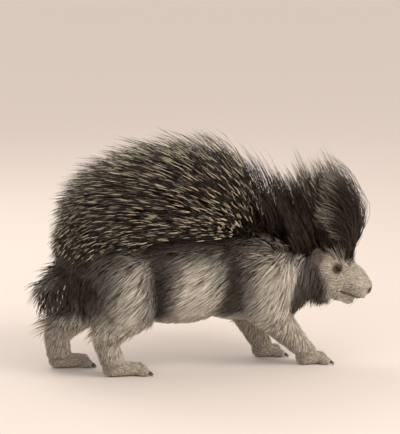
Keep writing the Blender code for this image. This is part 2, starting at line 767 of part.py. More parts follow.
def finish(nodes):
    """Gives each node its material, and sets the origin on the floor under the middle of the box."""
    for name, obj in nodes.items():
        kind = name.split("_")[0]
        spec = {"head": FACE, "neck": HIDE, "torso": BACK, "tail": BACK, "eye": EYE_GLOSS,
                "ear": EAR_SKIN, "claw": HORN}.get(kind, LEG_FUR)
        obj.name = name
        obj.data.materials.clear()
        obj.data.materials.append(material(spec))
        obj.data.set_sharp_from_angle(angle=math.radians(50))
        obj.data.shade_smooth()
    corners = [v.co for obj in nodes.values() for v in obj.data.vertices]
    low = [min(c[k] for c in corners) for k in range(3)]
    high = [max(c[k] for c in corners) for k in range(3)]
    shift = Matrix.Translation((-(low[0] + high[0]) / 2, -(low[1] + high[1]) / 2, 0))
    for obj in nodes.values():
        obj.data.transform(shift)
    print("origin moved by", [round(v, 4) for v in shift.translation], "lowest", round(low[2], 5))


def main():
    clear_scene()
    nodes = part_body(whole_body())
    finish_head(nodes["head"], nodes)
    add_claws(nodes)
    coats = {"torso": trunk_coat, "neck": neck_coat, "head": head_coat, "tail": tail_coat}
    for name in ("torso", "neck", "head", "tail", *LEGS):
        dress(name, nodes, coats.get(name, leg_coat), ROOTS_TRIED[name.split("_")[0]])
    finish(nodes)
    for name, obj in nodes.items():
        obj.data.calc_loop_triangles()
        print(name, len(obj.data.loop_triangles))


main()
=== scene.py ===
import math
import time

import bpy
import numpy as np
from mathutils import Matrix, Vector
from mathutils.bvhtree import BVHTree
from mathutils.kdtree import KDTree


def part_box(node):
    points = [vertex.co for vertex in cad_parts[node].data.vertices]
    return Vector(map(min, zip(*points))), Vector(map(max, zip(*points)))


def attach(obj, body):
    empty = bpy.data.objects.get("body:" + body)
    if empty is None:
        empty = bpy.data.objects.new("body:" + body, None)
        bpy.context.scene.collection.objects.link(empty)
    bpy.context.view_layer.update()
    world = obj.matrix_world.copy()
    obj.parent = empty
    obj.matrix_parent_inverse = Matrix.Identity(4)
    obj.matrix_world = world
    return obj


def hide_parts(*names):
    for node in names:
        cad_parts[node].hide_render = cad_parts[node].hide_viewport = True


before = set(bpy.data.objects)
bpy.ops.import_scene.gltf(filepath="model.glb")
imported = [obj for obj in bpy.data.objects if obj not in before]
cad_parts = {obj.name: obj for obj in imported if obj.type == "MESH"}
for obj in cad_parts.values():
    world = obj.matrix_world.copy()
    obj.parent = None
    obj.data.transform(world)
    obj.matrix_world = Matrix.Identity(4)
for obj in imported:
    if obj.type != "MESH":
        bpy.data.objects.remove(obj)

bpy.ops.object.select_all(action="DESELECT")
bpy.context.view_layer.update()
began = time.perf_counter()


def stage(words):
    print(f"{time.perf_counter() - began:6.1f} s  {words}", flush=True)


# Colours and nodes

def linear(code):
    parts = [int(code[i:i + 2], 16) / 255 for i in (1, 3, 5)]
    return (*(c / 12.92 if c <= 0.04045 else ((c + 0.055) / 1.055) ** 2.4 for c in parts), 1.0)


def setInputs(tree, node, inputs):  # each input takes a value or another node's output
    for name, value in inputs.items():
        if isinstance(value, bpy.types.NodeSocket):
            tree.links.new(value, node.inputs[name])
        else:
            node.inputs[name].default_value = value


def addNode(tree, kind, inputs=None, output=None, **settings):  # gives that output, or the first in use
    node = tree.nodes.new("ShaderNode" + kind)
    for name, value in settings.items():
        setattr(node, name, value)
    setInputs(tree, node, inputs or {})
    return node.outputs[output] if output else next(socket for socket in node.outputs if socket.enabled)


def attribute(tree, name):
    return addNode(tree, "Attribute", output="Fac", attribute_name=name)


def mixed(tree, share, first, second):  # two colours, each a code or another node's output
    first, second = (linear(colour) if isinstance(colour, str) else colour for colour in (first, second))
    return addNode(tree, "Mix", {"Factor": share, "A": first, "B": second}, data_type="RGBA")


def newMaterial(name):
    made = bpy.data.materials.new(name)
    made.use_nodes = True
    return made, made.node_tree, made.node_tree.nodes["Principled BSDF"]


# Where things are. Places are in the body's own metres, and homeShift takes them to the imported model's.
head = {
    "place": (0.298, -0.020, 0.216), "pitch": 30, "yaw": -15,
    "masses": [  # centre and half sizes, x to the nose and z to the crown
        ((-0.014, 0, 0.012), (0.056, 0.041, 0.040)),  # cranium
        ((0.022, 0, 0.020), (0.046, 0.027, 0.024)),  # forehead
        ((0.050, 0, 0.014), (0.048, 0.024, 0.025)),  # roof of the nose
        ((0.060, 0, -0.001), (0.044, 0.030, 0.030)),  # snout
        ((0.088, 0, 0.004), (0.022, 0.025, 0.023)),  # front of the nose
        ((0.028, 0, -0.038), (0.050, 0.022, 0.017)),  # jaw
        ((0.068, 0, -0.037), (0.020, 0.015, 0.012)),  # chin
        ((-0.030, 0, -0.028), (0.040, 0.036, 0.032)),  # throat
    ],
    "pairs": [
        ((0.004, 0.022, -0.016), (0.042, 0.022, 0.032)),  # cheeks
        ((0.084, 0.013, -0.010), (0.020, 0.014, 0.015)),  # whisker pads
        ((0.016, 0.027, 0.023), (0.022, 0.011, 0.007)),  # brows
    ],
    "fur": 0.0015,  # the skin stands this much further out than the masses
}
headFrame = (Matrix.Translation(head["place"]) @ Matrix.Rotation(math.radians(head["yaw"]), 4, "Z")
             @ Matrix.Rotation(math.radians(head["pitch"]), 4, "Y"))
headTurn = np.array(headFrame.to_3x3())
headPlace = np.array(head["place"])
sides = (1, -1)  # left and right


def mirrored(point, side):
    return Vector((point[0], point[1] * side, point[2]))


eye = {"place": (0.013, 0.0355, 0.014), "radius": 0.0072, "outward": (0.26, 1.0, 0.16)}
lowCorner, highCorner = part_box("eye_right")
homeShift = (lowCorner + highCorner) / 2 - headFrame @ mirrored(eye["place"], -1)
stage(f"the packed model lies {homeShift.x:.4f}, {homeShift.y:.4f} from the body's own frame")


def toHead(points):
    return (points - headPlace) @ headTurn


# Camera, light and floor
view = {"azimuth": -15, "elevation": 9, "look": (-0.00714, 0.0, 0.3472), "tall": 0.998, "lens": 200,
        "sensor": 36}
span = view["tall"] * view["lens"] / view["sensor"]  # the frame's long side covers that height at the animal
az, el = math.radians(view["azimuth"]), math.radians(view["elevation"])
away = Vector((math.sin(az) * math.cos(el), -math.cos(az) * math.cos(el), math.sin(el)))
camera = bpy.data.objects.new("camera", bpy.data.cameras.new("camera"))
camera.data.lens = view["lens"]
camera.location = Vector(view["look"]) + homeShift + away * span
camera.rotation_euler = (-away).to_track_quat("-Z", "Y").to_euler()
camera.data.clip_end = 60
bpy.context.scene.collection.objects.link(camera)
bpy.context.scene.camera = camera

lamps = [  # name, place, size, watts, tint
    ("keyLamp", (1.9, -2.2, 2.6), 1.5, 62, "#fffaf3"),
    ("fillLamp", (-2.4, -2.3, 1.5), 2.4, 24, "#f9f8ff"),
    ("rimLamp", (-0.9, 2.4, 2.3), 1.6, 26, "#fffdf9"),
]
for name, place, size, watts, tint in lamps:
    lamp = bpy.data.objects.new(name, bpy.data.lights.new(name, "AREA"))
    lamp.data.energy = watts
    lamp.data.size = size
    lamp.data.color = linear(tint)[:3]
    lamp.location = place
    lamp.rotation_euler = (Vector((0, 0, 0.25)) - Vector(place)).to_track_quat("-Z", "Y").to_euler()
    bpy.context.scene.collection.objects.link(lamp)
world = bpy.data.worlds.new("studio")
world.use_nodes = True
background = world.node_tree.nodes["Background"]
setInputs(world.node_tree, background, {"Color": linear("#f0e6df"), "Strength": 1.02})
bpy.context.scene.world = world
bpy.context.scene.view_settings.view_transform = "Standard"

bpy.ops.mesh.primitive_plane_add(size=40, location=(0, 0, 0))
floor = bpy.context.object
floor.name = "floor"
floorPaint, tree, shader = newMaterial("mattFloorPaint")  # without gloss under the feet
setInputs(tree, shader, {"Base Color": linear("#e2d9d1"), "Roughness": 0.9})
floor.data.materials.append(floorPaint)
bpy.ops.object.select_all(action="DESELECT")
stage("camera, light and floor")

# Skin: masses of flesh flow together, and the head and feet are then worked finer
body = {
    "masses": [
        ((-0.190, 0, 0.240), (0.122, 0.104, 0.116)),  # rump
        ((-0.060, 0, 0.226), (0.170, 0.110, 0.112)),  # belly
        ((0.085, 0, 0.214), (0.140, 0.090, 0.098)),  # chest
        ((0.085, 0, 0.262), (0.110, 0.062, 0.062)),  # withers
        ((-0.090, 0, 0.300), (0.180, 0.074, 0.074)),  # back
    ],
    "neck": [(0.130, 0, 0.222, 0.082), (0.196, -0.004, 0.226, 0.068), (0.256, -0.012, 0.222, 0.046)],
    "tail": [(-0.268, 0, 0.246, 0.040), (-0.318, 0, 0.222, 0.026), (-0.352, 0, 0.196, 0.018)],
    "grain": 0.0030, "faces": 65000,
}
legs = {  # x, y, z and radius from hip or shoulder down; the sole's heel and ball have x, y and radius
    "hind_right": {
        "limb": [(-0.205, -0.052, 0.238, 0.078), (-0.186, -0.074, 0.168, 0.054), (-0.222, -0.072, 0.120, 0.036),
                 (-0.246, -0.066, 0.084, 0.027), (-0.232, -0.065, 0.040, 0.027)],
        "sole": [(-0.232, -0.065, 0.022), (-0.172, -0.065, 0.021)], "toes": 5, "spread": 34},
    "hind_left": {
        "limb": [(-0.222, 0.050, 0.238, 0.078), (-0.246, 0.072, 0.162, 0.052), (-0.300, 0.066, 0.112, 0.036),
                 (-0.332, 0.058, 0.080, 0.028), (-0.330, 0.056, 0.040, 0.028)],
        "sole": [(-0.332, 0.056, 0.022), (-0.278, 0.056, 0.021)], "toes": 5, "spread": 34},
    "fore_right": {
        "limb": [(0.142, -0.044, 0.226, 0.064), (0.132, -0.064, 0.150, 0.044), (0.172, -0.062, 0.094, 0.032),
                 (0.214, -0.056, 0.050, 0.024), (0.232, -0.055, 0.032, 0.023)],
        "sole": [(0.228, -0.055, 0.020), (0.264, -0.055, 0.019)], "toes": 4, "spread": 30},
    "fore_left": {
        "limb": [(0.148, 0.044, 0.226, 0.064), (0.112, 0.062, 0.150, 0.044), (0.128, 0.058, 0.094, 0.032),
                 (0.146, 0.052, 0.050, 0.024), (0.156, 0.050, 0.032, 0.023)],
        "sole": [(0.152, 0.050, 0.020), (0.186, 0.050, 0.019)], "toes": 4, "spread": 30},
}
sole = {"balls": 7, "high": 0.020, "lower": 0.005}  # lower by that much at the ball of the foot
toe = {"radius": 0.0082, "length": 0.020, "groove": 0.0042, "knuckle": 0.0016}
ear = {"place": (-0.044, 0.0455, 0.016), "half": (0.0090, 0.0165, 0.0215), "sweep": 28, "flare": 32,
       "hollow": (0.0066, 0.0, 0.0012), "hollowHalf": (0.0108, 0.0136, 0.0182)}
eyePlaces = {side: np.array(headFrame @ mirrored(eye["place"], side)) for side in sides}
earPlaces = {side: headFrame @ mirrored(ear["place"], side) for side in sides}


def addBall(place, half, turn=None, fineness=3):
    rotation = turn.to_euler() if turn else (0, 0, 0)
    bpy.ops.mesh.primitive_ico_sphere_add(subdivisions=fineness, radius=1, location=place,
                                          rotation=rotation, scale=half)


def addChain(stations, step=0.012):
    for start, end in zip(stations, stations[1:]):
        a, b = Vector(start[:3]), Vector(end[:3])
        count = max(1, round((b - a).length / step))
        for i in range(count):
            t = (i + 0.5) / count
            radius = start[3] + (end[3] - start[3]) * t
            addBall(a.lerp(b, t), (radius,) * 3, fineness=2)
    addBall(stations[-1][:3], (stations[-1][3],) * 3, fineness=2)


def toeLines(leg):  # root and tip of each toe, spread like a fan from the ball of the foot
    heel, ball = (Vector((*p[:2], 0)) for p in leg["sole"])
    ahead = (ball - heel).normalized()
    for i in range(leg["toes"]):
        share = i / (leg["toes"] - 1) - 0.5
        turn = Matrix.Rotation(math.radians(leg["spread"] * share), 3, "Z")
        root = ball + Vector((0, 1, 0)) * share * leg["sole"][1][2] * 1.75
        root.z = toe["radius"] * 0.92
        lie = turn @ ahead
        yield root, root + lie * toe["length"] * (1 - 1.1 * share * share), lie


def earTurn(side):
    flare = Matrix.Rotation(math.radians(side * (90 - ear["flare"])), 4, "Z")
    sweep = Matrix.Rotation(math.radians(-ear["sweep"]), 4, "Y")
    return headFrame.to_3x3().to_4x4() @ sweep @ flare


def applyAll(obj):
    bpy.context.view_layer.objects.active = obj
    for modifier in list(obj.modifiers):
        bpy.ops.object.modifier_apply(modifier=modifier.name)


addBall((0, 0, 0.2), (0.05, 0.05, 0.05))  # inside the belly, and all the flesh is added to it
skin = bpy.context.object
skin.name = "skin"
bpy.ops.object.transform_apply(location=True, rotation=True, scale=True)
bpy.ops.object.mode_set(mode="EDIT")
for place, half in body["masses"]:
    addBall(place, half)
addChain(body["neck"])
addChain(body["tail"])
turn = headFrame.to_3x3().to_4x4()
for place, half in head["masses"]:
    addBall(headFrame @ Vector(place), [h + head["fur"] for h in half], turn)
for place, half in head["pairs"]:
    for side in sides:
        addBall(headFrame @ mirrored(place, side), [h + head["fur"] for h in half], turn)
for leg in legs.values():
    addChain(leg["limb"])
    for i in range(sole["balls"]):
        t = i / (sole["balls"] - 1)
        x, y, radius = (heel + (ball - heel) * t for heel, ball in zip(*leg["sole"]))
        height = sole["high"] - sole["lower"] * t
        addBall((x, y, height * 0.9), (radius, radius, height), fineness=2)
    for root, tip, _ in toeLines(leg):
        addChain([(*root, toe["radius"]), (*tip, toe["radius"] * 0.88)], 0.006)
bpy.ops.object.mode_set(mode="OBJECT")
ears = []
for side, centre in earPlaces.items():
    addBall(centre, ear["half"], earTurn(side), 4)
    cup = bpy.context.object
    addBall(centre + earTurn(side).to_3x3() @ Vector(ear["hollow"]), ear["hollowHalf"], earTurn(side), 4)
    hollow = bpy.context.object
    cut = cup.modifiers.new("cup", "BOOLEAN")
    cut.operation, cut.solver, cut.object = "DIFFERENCE", "EXACT", hollow
    applyAll(cup)
    bpy.data.objects.remove(hollow)
    ears.append(cup)
for piece in (*ears, skin):
    piece.select_set(True)
bpy.context.view_layer.objects.active = skin
bpy.ops.object.join()
flow = skin.modifiers.new("flow", "REMESH")
flow.mode, flow.voxel_size = "VOXEL", body["grain"]
applyAll(skin)
stage(f"flesh of {len(skin.data.vertices)} points")


def readAll(items, key, width, kind=np.float32):
    values = np.empty(len(items) * width, kind)
    items.foreach_get(key, values)
    return values.reshape(-1, width)


def meshPoints(mesh):
    return readAll(mesh.vertices, "co", 3).astype(float)


def meshNormals(mesh):
    return readAll(mesh.vertex_normals, "vector", 3).astype(float)


def setPoints(mesh, points):
    mesh.vertices.foreach_set("co", points.astype(np.float32).ravel())
    mesh.update()


def fade(low, high, value):  # smoothly from 0 at low to 1 at high, which may lie below it
    t = np.clip((value - low) / (high - low), 0, 1)
    return t * t * (3 - 2 * t)


def unit(vectors):
    return vectors / np.maximum(np.linalg.norm(vectors, axis=-1, keepdims=True), 1e-9)


def dot(a, b):
    return np.sum(a * b, axis=-1)


def gapTo(points, places):  # how far off the nearest of those places is
    return np.min([np.linalg.norm(points - np.array(place), axis=1) for place in places], axis=0)


def eyeGap(points):
    return gapTo(points, eyePlaces.values())


def earGap(points):
    return gapTo(points, earPlaces.values())


def easeWhere(weights, rounds):  # smooths the skin by those weights
    group = skin.vertex_groups.new(name="ease")
    levels = np.round(np.clip(weights, 0, 1) * 10).astype(int)
    for level in range(1, 11):
        group.add(np.flatnonzero(levels == level).tolist(), level / 10, "REPLACE")
    ease = skin.modifiers.new("ease", "SMOOTH")
    ease.factor, ease.iterations, ease.vertex_group = 0.5, rounds, group.name
    applyAll(skin)
    skin.vertex_groups.clear()


def refineWhere(chosen):  # cuts the chosen faces in four
    middles = readAll(skin.data.polygons, "center", 3).astype(float)
    bpy.ops.object.mode_set(mode="EDIT")
    bpy.ops.mesh.select_mode(type="FACE")
    bpy.ops.mesh.select_all(action="DESELECT")
    bpy.ops.object.mode_set(mode="OBJECT")
    skin.data.polygons.foreach_set("select", chosen(middles))
    bpy.ops.object.mode_set(mode="EDIT")
    bpy.ops.mesh.subdivide(number_cuts=1)
    bpy.ops.object.mode_set(mode="OBJECT")


def nearHead(points):  # 1 on the head, 0 on the neck and beyond
    local = toHead(points)
    aside = np.hypot(local[:, 1], local[:, 2] + 0.006)
    return fade(-0.075, -0.045, local[:, 0]) * fade(0.092, 0.078, aside)


def onFace(points):  # the parts of the face with fine forms
    x, _, z = toHead(points).T
    muzzle = ((x > 0.040) & (z < 0.022)) | (x > 0.088)
    return (eyeGap(points) < 0.021) | (muzzle & (nearHead(points) > 0.5))


easeWhere(1 - 0.7 * fade(0.040, 0.028, meshPoints(skin.data)[:, 2]), 5)
points = meshPoints(skin.data)
easeWhere((1 - nearHead(points)) * fade(0.030, 0.060, points[:, 2]), 24)
skin.data.calc_loop_triangles()
thin = skin.modifiers.new("thin", "DECIMATE")
thin.ratio = body["faces"] / len(skin.data.loop_triangles)
applyAll(skin)
refineWhere(lambda middles: nearHead(middles) > 0.2)
refineWhere(onFace)
refineWhere(lambda middles: (eyeGap(middles) < 0.017) | ((toHead(middles)[:, 0] > 0.094) & onFace(middles)))
easeWhere(nearHead(meshPoints(skin.data)), 6)
stage(f"skin of {len(skin.data.vertices)} points before the face")

# The face is worked by moves along its own axes: lids, nostrils, the cleft lip and the mouth
lids = {"half": (0.0070, 0.0052), "margin": 0.0010, "depth": 0.0030, "reach": 2.6, "fold": 0.0010}
nostril = {"place": (0.1050, 0.0118, 0.0055), "half": (0.0062, 0.0030, 0.0066), "tilt": 28, "depth": 0.0060,
           "rim": 0.0009}
nostrilPlaces = [mirrored(nostril["place"], side) for side in sides]
mouth = {"place": (0.060, 0, -0.0275), "rise": 10, "depth": 0.0030, "line": 0.0013, "lip": 0.0010,
         "corner": 0.022}
mouthTurn = np.array(Matrix.Rotation(math.radians(-mouth["rise"]), 3, "Y"))
whiskers = {"seed": 21, "pad": (0.093, 0.0035), "rows": 4, "inRow": 6, "apart": (0.0062, 0.0058),
            "slope": 0.0009, "bump": (0.00055, 0.0014), "length": (0.055, 0.125), "width": 0.0009, "bends": 7}
brows = {"place": (0.018, 0.06, 0.027), "apart": 0.004, "hairs": 4, "length": (0.04, 0.07)}  # over the eye


def fromMouth(local):  # places seen from the middle of the mouth
    return (local - np.array(mouth["place"])) @ mouthTurn


def padPlaces():  # row, place in the row, and where on the side of the head each whisker grows
    x, z = whiskers["pad"]
    along, down = whiskers["apart"]
    for i in range(whiskers["rows"]):
        for j in range(whiskers["inRow"]):
            yield i, j, x - along * j, z - down * i - whiskers["slope"] * j


def workEye(points, side):
    outward = unit(headTurn @ (np.array(eye["outward"]) * (1, side, 1)))
    along = unit(headTurn[:, 0] - outward * (headTurn[:, 0] @ outward))
    upward = np.cross(outward, along) * -side
    rel = points - eyePlaces[side]
    near = np.flatnonzero((np.linalg.norm(rel, axis=1) < 0.024) & (rel @ outward > -0.006))
    high, a, b = (rel[near] @ axis for axis in (outward, along, upward))
    across = b + a * 0.10  # the inner corner lies a little lower
    width, height = lids["half"]
    narrow = height * np.where(across > 0, 1.0, 0.86)
    rho = np.sqrt((a / (width * np.where(a > 0, 1.18, 1.0))) ** 2 + (across / narrow) ** 2)
    ball = np.sqrt(np.maximum(eye["radius"] ** 2 - np.hypot(a, b) ** 2, 0))
    lid = np.maximum(ball, high * 0.4) + lids["margin"]
    opened = fade(1.08, 0.92, rho)
    lidShare = fade(lids["reach"], 1.15, rho)
    target = high * (1 - lidShare) + lid * lidShare
    target += -lids["fold"] * np.exp(-((rho - 1.95) / 0.20) ** 2) * np.where(across > 0, 1.0, 0.55)
    target += -0.0005 * np.exp(-((rho - 2.5) / 0.16) ** 2)
    target = target * (1 - opened) + np.minimum(high, ball - lids["depth"]) * opened
    points[near] += (target - high)[:, None] * outward


def workNose(points):
    local = toHead(points)
    moved = np.zeros(len(points))
    for side, place in zip(sides, nostrilPlaces):
        turn = np.array(Matrix.Rotation(math.radians(-side * nostril["tilt"]), 3, "X"))
        d = np.linalg.norm(((local - np.array(place)) @ turn) / nostril["half"], axis=1)
        moved -= nostril["depth"] * fade(1.0, 0.25, d)
        moved += nostril["rim"] * np.exp(-((d - 1.35) / 0.28) ** 2)
    front = fade(0.088, 0.100, local[:, 0]) * fade(0.016, 0.006, local[:, 2])
    moved -= 0.0016 * np.exp(-(local[:, 1] / 0.0009) ** 2) * front  # the cleft of the upper lip
    moved += 0.0006 * np.exp(-((np.abs(local[:, 1]) - 0.0034) / 0.0018) ** 2) * front
    return moved


def workMouth(points):
    local = toHead(points)
    m = fromMouth(local)
    here = fade(-mouth["corner"] - 0.008, -mouth["corner"] + 0.012, m[:, 0]) * (local[:, 0] > 0.02)
    up = m[:, 2] + 0.0016 * np.sin(m[:, 0] * 90)  # the line waves a little along the cheek
    moved = -mouth["depth"] * np.exp(-(up / mouth["line"]) ** 2)
    moved += mouth["lip"] * np.exp(-((up - 0.0036) / 0.0020) ** 2)
    moved += mouth["lip"] * 0.8 * np.exp(-((up + 0.0036) / 0.0020) ** 2)
    moved -= 0.0008 * np.exp(-((up + 0.0090) / 0.0022) ** 2)
    return moved * here


def workFolds(points):  # soft folds behind the mouth's corner and rows of whisker roots
    x, y, z = toHead(points).T
    moved = np.zeros(len(points))
    behind = fade(0.050, 0.036, x) * fade(0.010, 0.024, x) * fade(0.005, -0.012, z)
    moved += 0.0004 * np.sin(np.hypot(x - 0.052, z + 0.026) * 820) * behind * (np.abs(y) > 0.012)
    high, wide = whiskers["bump"]
    for _, _, along, up in padPlaces():
        moved += high * np.exp(-(np.hypot(x - along, z - up) / wide) ** 2) * (np.abs(y) > 0.008)
    return moved * (nearHead(points) > 0.5)


points, normals = meshPoints(skin.data), meshNormals(skin.data)
moved = workNose(points) + workMouth(points) + workFolds(points)
moved[nearHead(points) < 0.5] = 0
points += normals * moved[:, None]
for side in sides:
    workEye(points, side)


def workToes(points, normals):  # grooves part the toes, and each toe swells a little at its joint
    moved = np.zeros(len(points))
    for leg in legs.values():
        axes = [(np.array(root), np.array(tip)) for root, tip, _ in toeLines(leg)]
        near = np.flatnonzero((np.linalg.norm(points - axes[2][0], axis=1) < 0.055) & (points[:, 2] < 0.045))
        aside, along = [], []
        for root, tip in axes:
            start = root - (tip - root) * 0.9
            way = (tip - start) / np.linalg.norm(tip - start)
            aside.append(np.abs((points[near] - start) @ np.cross((0, 0, 1), way)))
            along.append((points[near] - start) @ way / np.linalg.norm(tip - start))
        aside = np.array(aside)
        gap = aside.min(axis=0)
        t = np.array(along)[aside.argmin(axis=0), np.arange(len(near))]
        here = fade(0.05, 0.45, t) * fade(-0.2, 0.3, normals[near, 2])
        inner = np.sort(aside, axis=0)[1] < 0.012
        joint = np.exp(-((t - 0.70) / 0.16) ** 2)
        moved[near] -= toe["groove"] * fade(0.0026, 0.0050, gap) * here * inner
        moved[near] += toe["knuckle"] * joint * fade(0.0045, 0.001, gap) * here
    return moved


feet = workToes(points, meshNormals(skin.data))
points += normals * feet[:, None]
points[:, 2] = np.maximum(points[:, 2], 0.0)  # the soles rest flat
setPoints(skin.data, points)
bpy.ops.object.mode_set(mode="EDIT")
bpy.ops.mesh.select_all(action="SELECT")
bpy.ops.uv.smart_project(angle_limit=math.radians(66), island_margin=0.002)
bpy.ops.object.mode_set(mode="OBJECT")
skin.data.uv_layers[0].name = "OFBake"
skin.data.shade_smooth()
stage(f"skin of {len(skin.data.polygons)} faces")

# Markings and painted light and shade, shared by skin and coat: how pale a place is, from 0, blackish, to 1,
# cream
markingsAndPaintedLight = {
    "back": (0.02, 0.235, 0.325),  # paleness above, and the heights between which the flank turns into it
    "flank": 0.34,
    "paintedLightAndShade": [  # painted light and shade of the body's rounded forms: middle and half size along the body and up, with the paleness there
        ((-0.204, 0.180), (0.038, 0.095), 1.00),  # thigh, painted light where it bulges
        ((-0.130, 0.195), (0.032, 0.115), 0.02),  # dark band before the thigh, painted shade
        ((-0.048, 0.180), (0.046, 0.095), 1.20),  # pale side, painted light
        ((0.047, 0.200), (0.034, 0.115), 0.02),  # dark band behind the shoulder, painted shade
        ((0.142, 0.185), (0.050, 0.098), 1.15),  # shoulder, painted light
        ((-0.318, 0.200), (0.076, 0.115), 0.04),  # rump, painted shade
    ],
    "legs": 0.78, "belly": 0.40, "face": 0.88, "muzzle": 0.94, "nose": 0.12, "ears": 0.16, "ruff": 0.08,
    "crest": 0.10,
    "beardEdge": [(-0.050, 0.034), (-0.011, 0.008), (0.0, -0.018), (0.015, -0.034), (0.030, -0.020),
                  (0.045, 0.005)],  # up the side of the head, and how far forward the beard begins there
}


def behindJaw(local):  # how far a place on the head lies behind the edge of the dark beard
    return np.interp(local[:, 2], *zip(*markingsAndPaintedLight["beardEdge"])) - local[:, 0]


def onEar(local):  # the cup stands out from the side of the head
    return fade(0.038, 0.042, np.abs(local[:, 1]))


def toned(pale, tone, share):
    return pale + (tone - pale) * share


def paleness(points, facing=None):
    x, y, z = points.T
    local = toHead(points)
    onHead = nearHead(points)
    pale = np.full(len(points), markingsAndPaintedLight["flank"])
    # pale and dark patches on flank and rump: painted light and shade of the body's forms
    for (px, pz), (hx, hz), value in markingsAndPaintedLight["paintedLightAndShade"]:
        pale = toned(pale, value, np.exp(-(((x - px) / hx) ** 2 + ((z - pz) / hz) ** 2) ** 1.3))
    dark, low, high = markingsAndPaintedLight["back"]
    pale = toned(pale, dark, fade(low, high, z))
    pale = toned(pale, markingsAndPaintedLight["belly"], fade(0.135, 0.112, z) * fade(0.075, 0.045, np.abs(y)))
    # painted light and shade: the legs are paler on their forward sides and darker on their rear sides
    front = 0.5 if facing is None else fade(-0.6, 0.7, facing[:, 0])
    pale = toned(pale, markingsAndPaintedLight["legs"] * (0.62 + 0.5 * front), fade(0.135, 0.105, z))
    pale = toned(pale, markingsAndPaintedLight["ruff"], fade(0.195, 0.235, x) * (1 - onHead) * fade(0.10, 0.15, z))
    face = toned(markingsAndPaintedLight["face"], markingsAndPaintedLight["muzzle"], fade(0.050, 0.085, local[:, 0]))
    face = toned(face, markingsAndPaintedLight["ruff"], fade(-0.012, 0.020, behindJaw(local)))
    crown = fade(0.026, 0.050, local[:, 2]) * fade(0.062, 0.012, local[:, 0])
    pale = toned(pale, toned(face, markingsAndPaintedLight["crest"], crown), onHead)
    pale *= 1 - 0.85 * fade(0.0155, 0.0100, eyeGap(points))  # a dark ring round the eye
    # darker in and round the nostrils: painted shade in their pits
    for place in nostrilPlaces:
        pale = toned(pale, markingsAndPaintedLight["nose"], fade(0.0110, 0.0070, gapTo(local, [place])))
    # the ear's cup darker inside: painted shade in its hollow
    pale = toned(pale, markingsAndPaintedLight["ears"], fade(0.019, 0.016, earGap(points)) * onEar(local))
    lips = fromMouth(local)
    # darker along the mouth line and lips: painted shade in the mouth's crease
    pale *= 1 - 0.80 * np.exp(-(lips[:, 2] / 0.0024) ** 2) * (lips[:, 0] > -0.020) * onHead
    return np.clip(pale, 0, 1)


def bareness(points):  # 1 where skin shows: lids, nose, ear cups, lips and soles
    local = toHead(points)
    lips = fromMouth(local)
    return np.max([
        fade(0.0105, 0.0085, eyeGap(points)),
        fade(0.0090, 0.0064, gapTo(local, nostrilPlaces)),
        0.6 * fade(0.030, 0.024, earGap(points)) * onEar(local),
        fade(0.0036, 0.0022, np.abs(lips[:, 2])) * (lips[:, 0] > -0.018) * (nearHead(points) > 0.5),
        fade(0.004, 0.001, points[:, 2]),
    ], axis=0)


def setAttribute(mesh, name, values):
    mesh.attributes.new(name, "FLOAT", "POINT").data.foreach_set("value", values.astype(np.float32))


points, normals = meshPoints(skin.data), meshNormals(skin.data)
toeGrooveShade = fade(0.2, 0.9, -feet / toe["groove"])  # painted shade, dark in the grooves between the toes
# the skin's paleness takes the painted shade of the toe grooves
setAttribute(skin.data, "pale", paleness(points, normals) * (1 - 0.75 * toeGrooveShade))
setAttribute(skin.data, "bare", bareness(points))

# Hide: blackish brown skin under close fur with a grain of about 1.5 mm; bare skin is greyish brown
hide, tree, shader = newMaterial("shortFurOverHide")
place = addNode(tree, "TexCoord", output="Object")
pale, bare = attribute(tree, "pale"), attribute(tree, "bare")
hairs = addNode(tree, "TexNoise", {"Vector": place, "Scale": 620.0, "Detail": 4.0, "Roughness": 0.65})
cloud = addNode(tree, "TexNoise", {"Vector": place, "Scale": 38.0, "Detail": 3.0})
pores = addNode(tree, "TexVoronoi", {"Vector": place, "Scale": 900.0})
gaps = addNode(tree, "MapRange", {"Value": hairs, "From Min": 0.42, "From Max": 0.75, "To Max": 0.75})
furTone = mixed(tree, gaps, mixed(tree, pale, "#1c1612", "#b8aa94"), "#1a1410")
mottled = addNode(tree, "Math", {0: cloud, 1: 0.2, 2: pale}, operation="MULTIPLY_ADD")
skinTone = mixed(tree, mottled, "#211816", "#8d7d72")
relief = addNode(tree, "Mix", {"Factor": bare, "A": hairs, "B": pores})
setInputs(tree, shader, {
    "Base Color": mixed(tree, bare, furTone, skinTone),
    "Roughness": addNode(tree, "MapRange", {"Value": bare, "To Min": 0.78, "To Max": 0.44}),
    "Normal": addNode(tree, "Bump", {"Height": relief, "Strength": 0.55, "Distance": 0.0006}),
})
skin.data.materials.clear()
skin.data.materials.append(hide)

# What the coat grows on: the skin's faces, their sizes, ways out and places on the skin's unwrap
skin.data.calc_loop_triangles()
corners = readAll(skin.data.loop_triangles, "vertices", 3, np.int32)
loops = readAll(skin.data.loop_triangles, "loops", 3, np.int32)
unwrap = readAll(skin.data.uv_layers["OFBake"].data, "uv", 2)[loops]
first, second, third = (points[corners[:, k]] for k in range(3))
faceWay = np.cross(second - first, third - first)
faceSize = np.linalg.norm(faceWay, axis=1) / 2
faceOut = unit(faceWay)
faceMiddle = points[corners].mean(axis=1)
faceBare = bareness(faceMiddle)
skinTree = BVHTree.FromPolygons(points.tolist(), corners.tolist())

